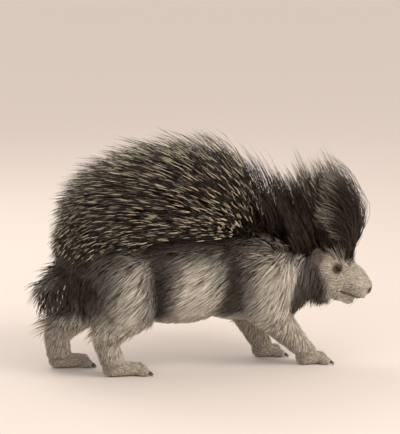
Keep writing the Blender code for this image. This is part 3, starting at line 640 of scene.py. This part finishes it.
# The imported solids' flesh and cores reach this far, and the long coat leaves them as it does there
cores = [
    ((-0.190, 0, 0.240), (0.140, 0.122, 0.134)), ((-0.060, 0, 0.226), (0.182, 0.122, 0.124)),
    ((0.085, 0, 0.214), (0.150, 0.100, 0.108)), ((0.085, 0, 0.262), (0.144, 0.096, 0.096)),
    ((-0.090, 0, 0.300), (0.214, 0.108, 0.108)), ((0.306, -0.021, 0.282), (0.052, 0.030, 0.060)),
    ((0.225, -0.008, 0.276), (0.070, 0.042, 0.060)),
]
rootDepth = 0.002  # strands start this deep in the skin
floorGap = 0.002  # and stay this far off the floor


def wayOut(starts, ways):  # how far along its way each start leaves the cores
    far = np.zeros(len(starts))
    for centre, half in cores:
        p = (starts - np.array(centre)) / half
        d = ways / np.array(half)
        a, b, c = dot(d, d), dot(p, d), dot(p, p) - 1
        reach = (-b + np.sqrt(np.maximum(b * b - a * c, 0))) / a
        far = np.where(c < 0, np.maximum(far, reach), far)
    return far


def thinned(places, apart):  # the places that are left when none stands closer to an earlier one
    taken, kept = {}, []
    cells = np.floor(places / apart).astype(int).tolist()
    for i, ((cx, cy, cz), (x, y, z)) in enumerate(zip(cells, places.tolist())):
        near = any((x - q[0]) ** 2 + (y - q[1]) ** 2 + (z - q[2]) ** 2 < apart * apart
                   for dx in (-1, 0, 1) for dy in (-1, 0, 1) for dz in (-1, 0, 1)
                   for q in taken.get((cx + dx, cy + dy, cz + dz), ()))
        if not near:
            taken.setdefault((cx, cy, cz), []).append((x, y, z))
            kept.append(i)
    return kept


def startCoat(coat, density):  # the piece's random draws, and its roots: places, ways out, unwrap
    rng = np.random.default_rng(coat["seed"])
    weight = faceSize * density(faceMiddle)
    faces = rng.choice(len(weight), coat["tries"], p=weight / weight.sum())
    u, v = np.sort(rng.random((2, coat["tries"])), axis=0)
    share = np.stack([u, v - u, 1 - v], 1)[:, :, None]
    places = (points[corners[faces]] * share).sum(axis=1)
    outward = unit((normals[corners[faces]] * share).sum(axis=1))
    spots = (unwrap[faces] * share).sum(axis=1)
    if "apart" in coat:
        kept = thinned(places, coat["apart"])
        places, outward, spots = places[kept], outward[kept], spots[kept]
    return rng, places, outward, spots


def lieAlong(outward, way):  # the part of a way that lies on the skin
    return unit(way - outward * dot(way, outward)[:, None])


def downTheCoat(outward, steepness):  # backwards and down by that many degrees
    angle = np.radians(steepness) * np.ones(len(outward))
    return lieAlong(outward, np.stack([-np.cos(angle), np.zeros(len(outward)), -np.sin(angle)], 1))


def lifted(lie, outward, degrees):
    angle = (np.radians(degrees) * np.ones(len(lie)))[:, None]
    return unit(lie * np.cos(angle) + outward * np.sin(angle))


def strayed(rng, ways, amount):
    return unit(ways + np.clip(rng.normal(0, amount, ways.shape), -2 * amount, 2 * amount))


def growLines(coat, places, rise, fall, length, lead=None):  # each strand rises and bends over into its fall
    here = places if lead is None else places + lead
    rows = [places - rise * rootDepth] if lead is None else [places - unit(lead) * rootDepth, here]
    for i in range(coat["bends"]):
        t = (i + 0.5) / coat["bends"]
        here = here + unit(rise * (1 - t) + fall * t) * (length / coat["bends"])[:, None]
        if "clear" in coat:  # as far off the skin as that, at least
            low = coat["clear"] * min(1, (i + 1) / 2)
            for k, point in enumerate(here.tolist()):
                spot, facing, _, gap = skinTree.find_nearest(point)
                high = (Vector(point) - spot).dot(facing)
                if high < low and gap < 0.016:
                    here[k] = spot + facing * low
        here[:, 2] = np.maximum(here[:, 2], floorGap)
        rows.append(here)
    return np.stack(rows, 1)


def throughCore(places, outward, rise):  # the hidden first leg of a long strand, out of the solids' core
    way = unit(outward + 0.45 * rise)
    return way * (wayOut(places, way) + 0.0005)[:, None]


def gather(coat, rng, lines):  # draws the tips of neighbours together into locks
    share, pull = coat["locks"]
    n, rows, _ = lines.shape
    leaders = rng.choice(n, max(1, int(n * share)), replace=False)
    finder = KDTree(len(leaders))
    for k, i in enumerate(leaders):
        finder.insert(lines[i, 0], k)
    finder.balance()
    chosen = leaders[[finder.find(place)[1] for place in lines[:, 0]]]
    t = (np.linspace(0, 1, rows) ** 1.4)[None, :, None]
    return lines + (lines[chosen] - lines) * t * pull


def buildCoat(name, coat, rng, lines, outward, spots, pale, thin=1.0):  # three-sided strands in one mesh
    n, rows, _ = lines.shape
    t = np.linspace(0, 1, rows)
    half = coat["width"] * thin * rng.uniform(0.8, 1.2, n) / 2
    wide = np.interp(t[:-1], *zip(*coat["wear"]))[None, :] * half[:, None]
    along = unit(lines[:, 1:] - lines[:, :-1])
    across = unit(np.cross(along, outward[:, None, :]) + 1e-6)
    up = np.cross(across, along)
    vertices = np.empty((n, (rows - 1) * 3 + 1, 3))
    for k in range(3):
        angle = 2 * math.pi * (k / 3 + 0.25)
        vertices[:, k:-1:3] = (lines[:, :-1] + across * (wide * math.cos(angle))[:, :, None]
                               + up * (wide * math.sin(angle) * coat["flat"])[:, :, None])
    vertices[:, -1] = lines[:, -1]
    faces = []
    for row in range(rows - 2):
        for k in range(3):
            a, b = row * 3 + k, row * 3 + (k + 1) % 3
            faces += [(a, b, b + 3), (a, b + 3, a + 3)]
    last, tip = (rows - 2) * 3, (rows - 1) * 3
    faces += [(last + k, last + (k + 1) % 3, tip) for k in range(3)] + [(2, 1, 0)]
    each = tip + 1
    everyFace = (np.array(faces)[None] + (np.arange(n) * each)[:, None, None]).reshape(-1, 3)
    mesh = bpy.data.meshes.new(name)
    mesh.from_pydata(vertices.reshape(-1, 3).tolist(), [], everyFace.tolist())
    share = np.append(np.repeat(t[:-1], 3), 1.0)
    setAttribute(mesh, "along", np.tile(share, n))
    setAttribute(mesh, "shade", np.repeat(rng.random(n), each))
    setAttribute(mesh, "pale", np.repeat(pale, each))
    patch = np.stack([np.append(np.tile([-0.5, 0.0, 0.5], rows - 1), 0.0), share - 0.5], 1) * 0.003
    uv = (spots[:, None, :] + patch[None]).reshape(-1, 2)[everyFace.ravel()]
    mesh.uv_layers.new(name="OFBake").data.foreach_set("uv", uv.astype(np.float32).ravel())
    mesh.shade_smooth()
    mesh.materials.append(coat["hair"])
    mesh.transform(Matrix.Translation(homeShift))
    piece = bpy.data.objects.new(name, mesh)
    bpy.context.scene.collection.objects.link(piece)
    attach(piece, "root")
    stage(f"{name}: {n} strands, {len(mesh.polygons)} faces")


# Keratin of the coat. Each strand knows how far along it a point is, its own random shade, and its paleness
def coatMaterial(name, dark, darker, light, start, end, rough):
    made, tree, shader = newMaterial(name)
    along, shade, pale = (attribute(tree, key) for key in ("along", "shade", "pale"))
    tip = addNode(tree, "MapRange", {"Value": along, "From Min": start, "From Max": end},
                  interpolation_type="SMOOTHSTEP")
    vary = addNode(tree, "Math", {0: shade, 1: 1.0, 2: 0.45}, operation="MULTIPLY_ADD")
    share = addNode(tree, "Math", {0: vary, 1: pale}, operation="MULTIPLY", use_clamp=True)
    lit = addNode(tree, "Math", {0: share, 1: tip}, operation="MULTIPLY", use_clamp=True)
    setInputs(tree, shader, {"Base Color": mixed(tree, lit, mixed(tree, shade, darker, dark), light),
                             "Roughness": rough, "Specular IOR Level": 0.4})
    return made


# Bristles: grooved keratin, blackish brown with cream tips where the paleness is high, from markings and from
# the painted light of the flank patches
bristle = coatMaterial("groovedBristleKeratin", "#34291f", "#17110d", "#f3ebdc", -0.65, 0.60, 0.50)
# Underfur: matt woolly hair, which keeps the gaps between the bristles dark
wool = coatMaterial("mattUnderfur", "#241c16", "#120d0a", "#d8cbb4", -0.45, 0.70, 0.75)
# Short hair of face and legs: softer and paler from the root on
shortHair = coatMaterial("closeShortHair", "#66574a", "#382e26", "#f0e7d8", -0.80, 0.55, 0.60)
# Crest and mane: long soft bristles, dark for most of their length, with whitish tips
crestHair = coatMaterial("longCrestBristle", "#35291f", "#17110d", "#dccfb8", 0.72, 1.02, 0.45)
blackHair = coatMaterial("stiffBlackWhisker", "#15100d", "#0c0907", "#2a211a", 0.5, 1.0, 0.35)

# Quills: smooth hollow keratin in bands of blackish brown and cream, which don't line up from quill to quill
quill, tree, shader = newMaterial("bandedQuillKeratin")
along, shade = attribute(tree, "along"), attribute(tree, "shade")
slip = addNode(tree, "Math", {0: shade, 1: 0.16, 2: -0.08}, operation="MULTIPLY_ADD")
bands = addNode(tree, "ValToRGB", {"Fac": addNode(tree, "Math", {0: along, 1: slip}, operation="ADD")})
stops = [(0.00, "#cdbc9a"), (0.10, "#cdbc9a"), (0.14, "#1e1712"), (0.36, "#211913"), (0.39, "#cfc1a5"),
         (0.50, "#d6caaf"), (0.53, "#1e1712"), (0.70, "#211913"), (0.73, "#cfc1a5"), (0.81, "#c9bb9f"),
         (0.85, "#211913"), (1.00, "#261d17")]
ramp = bands.node.color_ramp
for spot, code in stops[1:-1]:
    ramp.elements.new(spot).color = linear(code)
for element, (spot, code) in ((ramp.elements[0], stops[0]), (ramp.elements[-1], stops[-1])):
    element.position, element.color = spot, linear(code)
setInputs(tree, shader, {"Base Color": bands, "Roughness": 0.34})

# How a strand's width runs from root to tip, how flat it is, and what each kind is made of
quilled = {"wear": [(0.0, 0.55), (0.15, 0.9), (0.40, 1.0), (0.70, 0.72), (0.90, 0.34), (1.0, 0.1)],
           "flat": 0.9, "hair": quill, "slot": "quill"}
haired = {"wear": [(0.0, 0.8), (0.30, 1.0), (0.70, 0.7), (0.90, 0.4), (1.0, 0.15)],
          "flat": 0.55, "hair": bristle, "slot": "bristle"}

# Long coat of back and rump, read from the nape to the rump
back = {
    "x": [0.275, 0.235, 0.20, 0.10, 0.0, -0.10, -0.18, -0.25, -0.31],
    "length": [0.100, 0.168, 0.198, 0.216, 0.208, 0.190, 0.140, 0.094, 0.066],
    "rise": [66, 82, 88, 76, 57, 46, 40, 36, 34],
    "fall": [38, 52, 58, 38, 15, 1, -10, -42, -74],
}


def alongBack(x, key):
    return np.interp(-x, [-v for v in back["x"]], back[key])


def onTrunk(places):  # 1 on trunk and neck, 0 on head and low on the legs
    return (1 - nearHead(places)) * fade(0.100, 0.120, places[:, 2])


def topOfBack(places, low, onRump):  # the back above the flanks, the rump behind, and the nape
    x, y, z = places.T
    nape = fade(0.15, 0.20, x) * fade(0.25, 0.45, faceOut[:, 2]) * fade(0.235, 0.260, z)
    nape *= fade(0.078, 0.056, np.abs(y))
    rump = fade(-0.45, -0.65, faceOut[:, 0]) * fade(0.185, 0.215, z) * (x < -0.2)
    return onTrunk(places) * np.maximum(fade(low, low + 0.085, z), np.maximum(nape, rump * onRump))


def growBack(coat, rng, places, outward):
    n = len(places)
    top = fade(0.02, 0.60, outward[:, 2])
    rear = fade(-0.13, -0.30, places[:, 0])
    length = alongBack(places[:, 0], "length") * (0.60 + 0.40 * top)
    length *= rng.uniform(0.78, 1.08, n)
    length *= coat["longer"]
    length *= 1 + 0.08 * (rng.random(n) < 0.12)  # some stand out of the coat
    length *= 0.62 + 0.38 * fade(0.255, 0.325, places[:, 2])  # shorter where the flanks begin
    length *= 1 - 0.40 * rng.random(n) * fade(0.350, 0.300, places[:, 2])  # and uneven there
    lie = downTheCoat(outward, 10 + 50 * rear)
    rise = lifted(lie, outward, alongBack(places[:, 0], "rise") * (0.40 + 0.60 * top))
    level = unit(np.stack([-np.ones(n), outward[:, 1] * (0.30 + 0.25 * rear), np.zeros(n)], 1))
    lift = alongBack(places[:, 0], "fall")
    lift = np.radians(np.where(lift > 0, lift * (0.25 + 0.75 * top), lift) - 16 * (1 - top))[:, None]
    fall = unit(level * np.cos(lift) + np.array((0, 0, 1)) * np.sin(lift))
    rise, fall = (strayed(rng, way, amount) for way, amount in zip((rise, fall), coat["stray"]))
    return growLines(coat, places, rise, fall, length, throughCore(places, outward, rise))


backQuills = {**quilled, "seed": 3, "tries": 17000, "apart": 0.0043, "width": 0.0032, "bends": 6,
              "longer": 1.0, "stray": (0.045, 0.065)}
rng, roots, outward, spots = startCoat(backQuills, lambda places: topOfBack(places, 0.286, 0.0)
                                       * fade(0.13, 0.07, places[:, 0]) * (places[:, 0] > -0.31))
lines = growBack(backQuills, rng, roots, outward)
buildCoat("back_quills", backQuills, rng, lines, outward, spots, paleness(roots))

mane = {**haired, "hair": crestHair, "seed": 5, "tries": 8600, "width": 0.0019, "bends": 5, "longer": 0.97,
        "stray": (0.06, 0.08), "locks": (0.12, 0.45)}
rng, roots, outward, spots = startCoat(mane, lambda places: topOfBack(places, 0.276, 1.4)
                                       * (1 + 1.2 * fade(0.02, 0.10, places[:, 0])))
lines = gather(mane, rng, growBack(mane, rng, roots, outward))
half = roots[:, 0] > -0.03
for name, part in (("mane_front", half), ("mane_rear", ~half)):
    tips = lines[part, -1]
    pale = 0.05 + 0.8 * paleness(tips) * (1 - nearHead(tips))
    buildCoat(name, mane, rng, lines[part], outward[part], spots[part], pale)

underfur = {**haired, "hair": wool, "slot": "hide", "seed": 7, "tries": 8400, "width": 0.0030, "bends": 3,
            "clear": 0.004}


def onUnderfur(places):
    x, _, z = places.T
    return ((1 - nearHead(places)) * fade(0.085, 0.120, z) * (toHead(places)[:, 0] < 0.0)
            * (1 - fade(0.155, 0.172, x) * fade(0.180, 0.160, z)))


rng, roots, outward, spots = startCoat(underfur, onUnderfur)
high = fade(0.05, 0.65, outward[:, 2])
rise = lifted(downTheCoat(outward, 30 - 15 * high), outward, 24 + 34 * high)
fall = strayed(rng, lifted(downTheCoat(outward, 34), outward, 4 + 14 * high), 0.12)
length = (0.030 + 0.026 * high) * rng.uniform(0.8, 1.2, len(roots)) * (1 - 0.5 * nearHead(roots))
lines = growLines(underfur, roots, strayed(rng, rise, 0.10), fall, length)
buildCoat("underfur", underfur, rng, lines, outward, spots, paleness(roots))

flank = {**haired, "seed": 9, "tries": 17400, "width": 0.0019, "bends": 4, "clear": 0.010,
         "locks": (0.10, 0.40)}


def onFlank(places):
    x, _, z = places.T
    return (onTrunk(places) * fade(0.360, 0.300, z)
            * fade(0.75, 0.55, faceOut[:, 2] * (x > 0.15)) * (x < 0.240)
            * (1 + 1.2 * fade(0.15, 0.20, x) * (z > 0.19))
            * (1 - fade(0.165, 0.180, x) * fade(0.190, 0.172, z)))


rng, roots, outward, spots = startCoat(flank, onFlank)
top = fade(0.02, 0.60, outward[:, 2])
rear = fade(-0.13, -0.30, roots[:, 0])
front = fade(0.06, 0.16, roots[:, 0])
under = fade(-0.45, -0.85, outward[:, 2])
lie = downTheCoat(outward, 24 + 40 * rear + 22 * front)
length = 0.058 - 0.012 * rear + 0.020 * top - 0.006 * under + 0.030 * fade(0.26, 0.34, roots[:, 2])
length *= rng.uniform(0.8, 1.2, len(roots))
length *= 0.50 + 0.50 * fade(0.115, 0.185, roots[:, 2])
rise = strayed(rng, lifted(lie, outward, 20 + 10 * top + 8 * under), 0.08)
fall = strayed(rng, lifted(lie, outward, 10 * under), 0.09)
lines = gather(flank, rng, growLines(flank, roots, rise, fall, length))
half = roots[:, 0] > -0.075
for name, part in (("flank_front", half), ("flank_rear", ~half)):
    # the flank hair takes the painted light and shade of the flank patches near its tips
    buildCoat(name, flank, rng, lines[part], outward[part], spots[part], paleness(lines[part, -2]))

# Crest: from the crown the bristles stand up, arch over and sweep far back above the nape
crest = {**haired, "hair": crestHair, "seed": 11, "tries": 2100, "width": 0.0022, "bends": 9,
         "locks": (0.12, 0.42), "middle": (0.298, -0.021, 0.195), "length": 0.346, "shorter": 0.176,
         "whitish": 0.38}


def onCrown(places):
    x, y, z = toHead(places).T
    return fade(0.030, 0.040, z) * (np.abs(y) < 0.034) * fade(0.050, 0.010, x) * (x > -0.066)


rng, roots, outward, spots = startCoat(crest, onCrown)
ways = unit(roots - np.array(crest["middle"]))
tops = roots + ways * wayOut(roots, ways)[:, None]
local = toHead(tops)
far = 1 - fade(-0.070, 0.045, local[:, 0])
spread = np.clip(local[:, 1] / 0.040, -1, 1)
low = 1 - fade(0.034, 0.066, local[:, 2])
ahead, aside = unit(headTurn[:, 0] * (1, 1, 0)), headTurn[:, 1]


def arched(degrees, side):
    angle = np.radians(degrees)[:, None]
    return unit(ahead * np.cos(angle) + np.array((0, 0, 1)) * np.sin(angle)
                + aside * (side * spread)[:, None])


rise = strayed(rng, arched(50 + 36 * far, 0.50), 0.05)
fall = strayed(rng, arched(186 - 66 * far, 0.26), 0.08)
length = ((crest["length"] - crest["shorter"] * np.minimum(1, far * 1.6))
          * (1 - 0.20 * np.abs(spread)) * (1 - 0.34 * low * (1 - far))
          * (0.48 + 0.57 * rng.random(len(roots))) * (1 + 0.10 * (rng.random(len(roots)) < 0.10)))
hairline = fade(0.046, 0.002, toHead(roots)[:, 0])
length *= 0.12 + 0.88 * hairline  # short where it begins
lines = growLines(crest, tops, rise, fall, length)
lines = gather(crest, rng, np.concatenate([(roots - ways * rootDepth)[:, None], lines], axis=1))
pale = np.where(rng.random(len(roots)) < crest["whitish"], 1.0, 0.10)
buildCoat("crest", crest, rng, lines, outward, spots, pale, 0.45 + 0.55 * hairline)

# Ruff: a dark beard of long bristles hangs behind the jaw and under the neck, clear of the ears
ruff = {**haired, "seed": 13, "tries": 3300, "width": 0.0021, "bends": 5, "locks": (0.10, 0.45)}


def onRuff(places):
    local = toHead(places)
    onHead = nearHead(places) * fade(-0.010, 0.016, behindJaw(local)) * fade(0.026, 0.006, local[:, 2])
    onNeck = (1 - nearHead(places)) * fade(0.205, 0.235, places[:, 0]) * fade(0.50, 0.25, faceOut[:, 2])
    return np.maximum(onHead, onNeck * fade(0.150, 0.170, places[:, 2])) * (earGap(places) > 0.021)


rng, roots, outward, spots = startCoat(ruff, onRuff)
under = fade(-0.1, -0.8, outward[:, 2])[:, None]
hang = unit(np.stack([np.full(len(roots), -0.24), 0.11 * outward[:, 1], np.full(len(roots), -0.96)], 1))
lie = downTheCoat(outward, 68)
rise = strayed(rng, unit(lifted(lie, outward, 25) * (1 - 0.4 * under) + hang * 0.4 * under), 0.10)
fall = strayed(rng, unit(lie * 0.35 + hang * 0.65), 0.09)
length = (0.080 + 0.014 * under[:, 0]) * rng.uniform(0.70, 1.12, len(roots))
cheek = nearHead(roots) * fade(0.085, -0.004, behindJaw(toHead(roots)))
length *= 1 - 0.74 * cheek  # the face's own hair grows into it
lines = gather(ruff, rng, growLines(ruff, roots, rise, fall, length))
buildCoat("ruff", ruff, rng, lines, outward, spots, paleness(roots), 1 - 0.4 * cheek)

# Tail: short, and hidden under hanging bristles, with banded quills among them at its end
tail = {**haired, "hair": crestHair, "seed": 15, "tries": 2600, "apart": 0.0034, "width": 0.0026, "bends": 5,
        "length": 0.060, "quills": 0.18}
tailQuills = {**tail, **quilled, "width": tail["width"] * 1.35}
rng, roots, outward, spots = startCoat(tail, lambda places: fade(-0.270, -0.300, places[:, 0])
                                       * fade(0.060, 0.045, np.abs(places[:, 1]))
                                       * fade(0.150, 0.165, places[:, 2]))
rise = strayed(rng, lifted(lieAlong(outward, np.tile((-0.62, 0, -0.78), (len(roots), 1))), outward, 22), 0.08)
hang = np.stack([np.full(len(roots), -0.12), 0.25 * outward[:, 1], np.full(len(roots), -0.98)], 1)
fall = strayed(rng, unit(hang), 0.08)
lines = growLines(tail, roots, rise, fall, tail["length"] * rng.uniform(0.75, 1.2, len(roots)))
banded = (rng.random(len(roots)) < tail["quills"]) & (roots[:, 0] < -0.318)
for name, coat, part, paler in (("tail_quills", tailQuills, banded, 0),
                                ("tail_bristles", tail, ~banded, 0.25)):
    buildCoat(name, coat, rng, lines[part], outward[part], spots[part], paler + paleness(roots[part]))

# Legs: close hair that lies down the limb, and shorter and finer forward over the toes
closeFur = {**haired, "hair": shortHair, "clear": 0.0008, "slot": "leg_fur"}
limbFurs = {
    "leg_fur": {**closeFur, "seed": 17, "tries": 8800, "width": 0.0015, "bends": 3, "from": (0.026, 0.042)},
    "foot_fur": {**closeFur, "seed": 18, "tries": 9600, "width": 0.0010, "bends": 2, "from": (0.052, 0.030)},
}
for name, fur in limbFurs.items():
    rng, roots, outward, spots = startCoat(fur, lambda places: fade(0.135, 0.105, places[:, 2])
                                           * (1 - nearHead(places)) * (1 - faceBare) * (places[:, 2] > 0.0035)
                                           * fade(*fur["from"], places[:, 2]))
    foot = fade(0.042, 0.022, roots[:, 2])[:, None]
    lie = lieAlong(outward, np.array((-0.25, 0, -0.97)) * (1 - foot) + np.array((0.85, 0, -0.25)) * foot)
    length = np.interp(roots[:, 2], [0.0, 0.018, 0.045, 0.10, 0.13], [0.0032, 0.0048, 0.012, 0.022, 0.030])
    length = length * rng.uniform(0.75, 1.2, len(roots))
    rise = strayed(rng, lifted(lie, outward, 22), 0.10)
    fall = strayed(rng, lifted(lie, outward, 2), 0.10)
    lines = growLines(fur, roots, rise, fall, length)
    lines[:, :, 2] = np.maximum(lines[:, :, 2], 0.0012)  # the roots stay above the sole, too
    # the fur takes the legs' painted shade on their rear sides from its ways out
    buildCoat(name, fur, rng, lines, outward, spots, paleness(roots, outward))

# Face: short hair that lies back from the nose, parts round the eyes and grows longer to cheek and throat
faceFur = {**closeFur, "slot": "face_fur", "seed": 19, "tries": 11800, "width": 0.0010, "bends": 3,
           "clear": 0.0006}


def onFaceFur(places):
    x, y, z = toHead(places).T
    crown = fade(0.030, 0.040, z) * (x < 0.010)
    return nearHead(places) * (1 - faceBare) * (1 - 0.7 * crown) * (1 + 1.2 * fade(0.03, 0.07, x))


rng, roots, outward, spots = startCoat(faceFur, onFaceFur)
local = toHead(roots)
way = np.tile(-headTurn[:, 0] - 0.30 * headTurn[:, 2], (len(roots), 1))
way[:, 2] -= 0.5 * fade(0.01, -0.03, local[:, 2]) * fade(0.05, 0.0, local[:, 0])
for place in eyePlaces.values():
    way += unit(roots - place) * (1.6 * fade(0.022, 0.010, gapTo(roots, [place])))[:, None]
lie = lieAlong(outward, way)
length = np.interp(local[:, 0], [-0.060, -0.020, 0.020, 0.050, 0.080, 0.100, 0.115],
                   [0.032, 0.024, 0.015, 0.011, 0.0075, 0.0045, 0.003])
brow = fade(0.062, 0.020, local[:, 0]) * fade(0.024, 0.044, local[:, 2])
brow *= fade(0.030, 0.056, earGap(roots))
length = length * (1 + 2.4 * brow) * (1 - 0.7 * fade(0.028, 0.022, earGap(roots)) * onEar(local))
length *= 1 - 0.60 * fade(0.046, 0.030, earGap(roots))  # shorter in front of the ears, which it would hide
length = length * (0.30 + 0.70 * fade(0.010, 0.024, eyeGap(roots))) * rng.uniform(0.75, 1.2, len(roots))
rise = strayed(rng, lifted(lie, outward, 20 + 34 * brow), 0.08)
fall = strayed(rng, lifted(lie, outward, 3 + 40 * brow), 0.09)
lines = growLines(faceFur, roots, rise, fall, length)
buildCoat("face_fur", faceFur, rng, lines, outward, spots, paleness(roots))

# Whiskers: long, stiff and black, from rows of bumps on each pad, with a few above the eye
whiskers |= {"wear": [(0.0, 1.0), (0.6, 0.7), (1.0, 0.2)], "flat": 0.9, "hair": blackHair, "slot": "bristle"}
rng = np.random.default_rng(whiskers["seed"])
grown = []  # root, face, rise, fall and length of each


def addWhisker(side, start, rise, fall, droop, length):
    way = headFrame.to_3x3() @ Vector((0, -side, 0))
    hit, _, face, _ = skinTree.ray_cast(headFrame @ Vector(start), way)
    if hit:
        fall = headTurn @ np.array(fall) + np.array(droop)
        grown.append((hit, face, headTurn @ np.array(rise), fall, length()))


for side in sides:
    for i, j, along, up in padPlaces():
        addWhisker(side, (along, 0.045 * side, up), (-0.15 - 0.05 * j, side * 0.9, 0.10 - 0.12 * i),
                   (-0.50, side * 0.70, -0.10 - 0.16 * i), (0, 0, -0.22),
                   lambda: rng.uniform(*whiskers["length"]) * (0.6 + 0.08 * j))
    x, y, z = brows["place"]
    for j in range(brows["hairs"]):
        addWhisker(side, (x - brows["apart"] * j, side * y, z),
                   (0.1, side * 0.7, 0.7), (-0.8, side * 0.5, 0.2), (0, 0, 0),
                   lambda: rng.uniform(*brows["length"]))
roots, faces, rise, fall, length = (np.array(column) for column in zip(*grown))
rise, fall = strayed(rng, unit(rise), 0.06), strayed(rng, unit(fall), 0.08)
lines = growLines(whiskers, roots, rise, fall, length)
buildCoat("whiskers", whiskers, rng, lines, rise, unwrap[faces].mean(axis=1), np.zeros(len(roots)))

# Eyes: dark brown iris and round pupil under a wet cornea, which stands a little forward
eyeball = {"iris": 0.74, "pupil": 0.34, "cornea": 0.10}
wetEye, tree, shader = newMaterial("wetEyeball")
ring = attribute(tree, "ring")
place = addNode(tree, "TexCoord", output="Object")
streaks = addNode(tree, "TexNoise", {"Vector": place, "Scale": 1400.0, "Detail": 2.0})
rings = addNode(tree, "ValToRGB", {"Fac": ring})
ramp = rings.node.color_ramp
ramp.elements.new(eyeball["pupil"]).color = (0, 0, 0, 1)
ramp.elements.new(eyeball["pupil"] + 0.05).color = (1, 1, 1, 1)
ramp.elements[0].color, ramp.elements[-1].color = (0, 0, 0, 1), (1, 1, 1, 1)
inner = mixed(tree, rings, "#050403", mixed(tree, streaks, "#170d08", "#3d2416"))
rim = addNode(tree, "MapRange", {"Value": ring, "From Min": eyeball["iris"] - 0.04,
                                 "From Max": eyeball["iris"] + 0.06})
setInputs(tree, shader, {"Base Color": mixed(tree, rim, inner, "#2b1d18"), "Roughness": 0.05, "IOR": 1.38,
                         "Specular IOR Level": 0.42})
bpy.ops.object.select_all(action="DESELECT")
for side, node in zip(sides, ("eye_left", "eye_right")):
    outwardWay = Vector(headTurn @ unit(np.array(eye["outward"]) * (1, side, 1)))
    bpy.ops.mesh.primitive_uv_sphere_add(segments=48, ring_count=32, radius=eye["radius"])
    ball = bpy.context.object
    ball.name = node.replace("eye", "eyeball")
    spherePoints = meshPoints(ball.data)
    angle = np.arccos(np.clip(spherePoints[:, 2] / eye["radius"], -1, 1)) / (math.pi / 2)
    spherePoints *= (1 + eyeball["cornea"] * fade(eyeball["iris"], 0.0, angle))[:, None]
    setPoints(ball.data, spherePoints)
    setAttribute(ball.data, "ring", np.clip(angle, 0, 1))
    ball.matrix_world = (Matrix.Translation(Vector(eyePlaces[side]) + homeShift)
                         @ outwardWay.to_track_quat("Z", "Y").to_matrix().to_4x4())
    bpy.ops.object.transform_apply(location=True, rotation=True, scale=True)
    ball.data.shade_smooth()
    ball.data.materials.append(wetEye)
    ball.select_set(False)
    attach(ball, "root")
    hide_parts(node)
stage("eyes")

# Claws: strong, blunt and dark, each one curved down from its toe to the floor
claw = {"length": 0.0185, "start": 0.006, "radius": 0.0037, "tip": 0.0008, "droop": 38, "rows": 7,
        "wide": 0.85}
horn, tree, shader = newMaterial("wornClawHorn")
place = addNode(tree, "TexCoord", output="Object")
grain = addNode(tree, "TexNoise", {"Vector": place, "Scale": 520.0, "Detail": 5.0, "Roughness": 0.6})
grooves = addNode(tree, "Bump", {"Height": grain, "Strength": 0.4, "Distance": 0.0004})
setInputs(tree, shader, {"Base Color": mixed(tree, grain, "#191310", "#54443a"), "Roughness": 0.42,
                         "Normal": grooves})


def addClaw(tip, lie):  # drawn out of a disc row by row, each row smaller and turned down
    start = tip - lie * claw["start"] + Vector((0, 0, 0.0015))
    bpy.ops.mesh.primitive_circle_add(vertices=12, radius=claw["radius"], fill_type="NGON", location=start,
                                      rotation=lie.to_track_quat("Z", "Y").to_euler(),
                                      scale=(claw["wide"], 1, 1))
    here = start.copy()
    radius = claw["radius"]
    step = (claw["start"] + claw["length"]) / claw["rows"]
    for i in range(claw["rows"]):
        t = (i + 1) / claw["rows"]
        down = math.radians(claw["droop"]) * t
        way = lie * math.cos(down) + Vector((0, 0, -1)) * math.sin(down)
        bpy.ops.mesh.extrude_region_move(TRANSFORM_OT_translate={"value": way * step})
        here += way * step
        smaller = claw["tip"] + (claw["radius"] - claw["tip"]) * (1 - t ** 1.7)
        bpy.ops.transform.resize(value=(smaller / radius,) * 3, center_override=here)
        radius = smaller


for words, leg in legs.items():
    addBall((0, 0, 5), (0.001,) * 3, fineness=1)
    claws = bpy.context.object
    claws.name = f"claws_{words}"
    bpy.ops.object.transform_apply(location=True, rotation=True, scale=True)
    bpy.ops.object.mode_set(mode="EDIT")
    bpy.ops.mesh.delete(type="VERT")
    for root, tip, lie in toeLines(leg):
        bpy.ops.mesh.select_all(action="DESELECT")
        addClaw(tip, lie)
    bpy.ops.mesh.select_all(action="SELECT")
    bpy.ops.mesh.normals_make_consistent(inside=False)
    bpy.ops.object.mode_set(mode="OBJECT")
    smoother = claws.modifiers.new("smoother", "SUBSURF")
    smoother.levels = smoother.render_levels = 1
    applyAll(claws)
    clawPoints = meshPoints(claws.data)
    clawPoints[:, 2] = np.maximum(clawPoints[:, 2], 0.0002)
    setPoints(claws.data, clawPoints)
    claws.data.shade_smooth()
    claws.data.materials.append(horn)
    claws.data.transform(Matrix.Translation(homeShift))
    claws.select_set(False)
    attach(claws, "root")
    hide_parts(*(f"claw_{words}_{i + 1}" for i in range(leg["toes"])))
stage("claws")

skin.data.transform(Matrix.Translation(homeShift))
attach(skin, "root")
flesh = [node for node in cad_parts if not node.startswith(("eye", "claw"))]
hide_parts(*flesh)
bpy.ops.object.select_all(action="DESELECT")
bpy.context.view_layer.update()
stage("done")
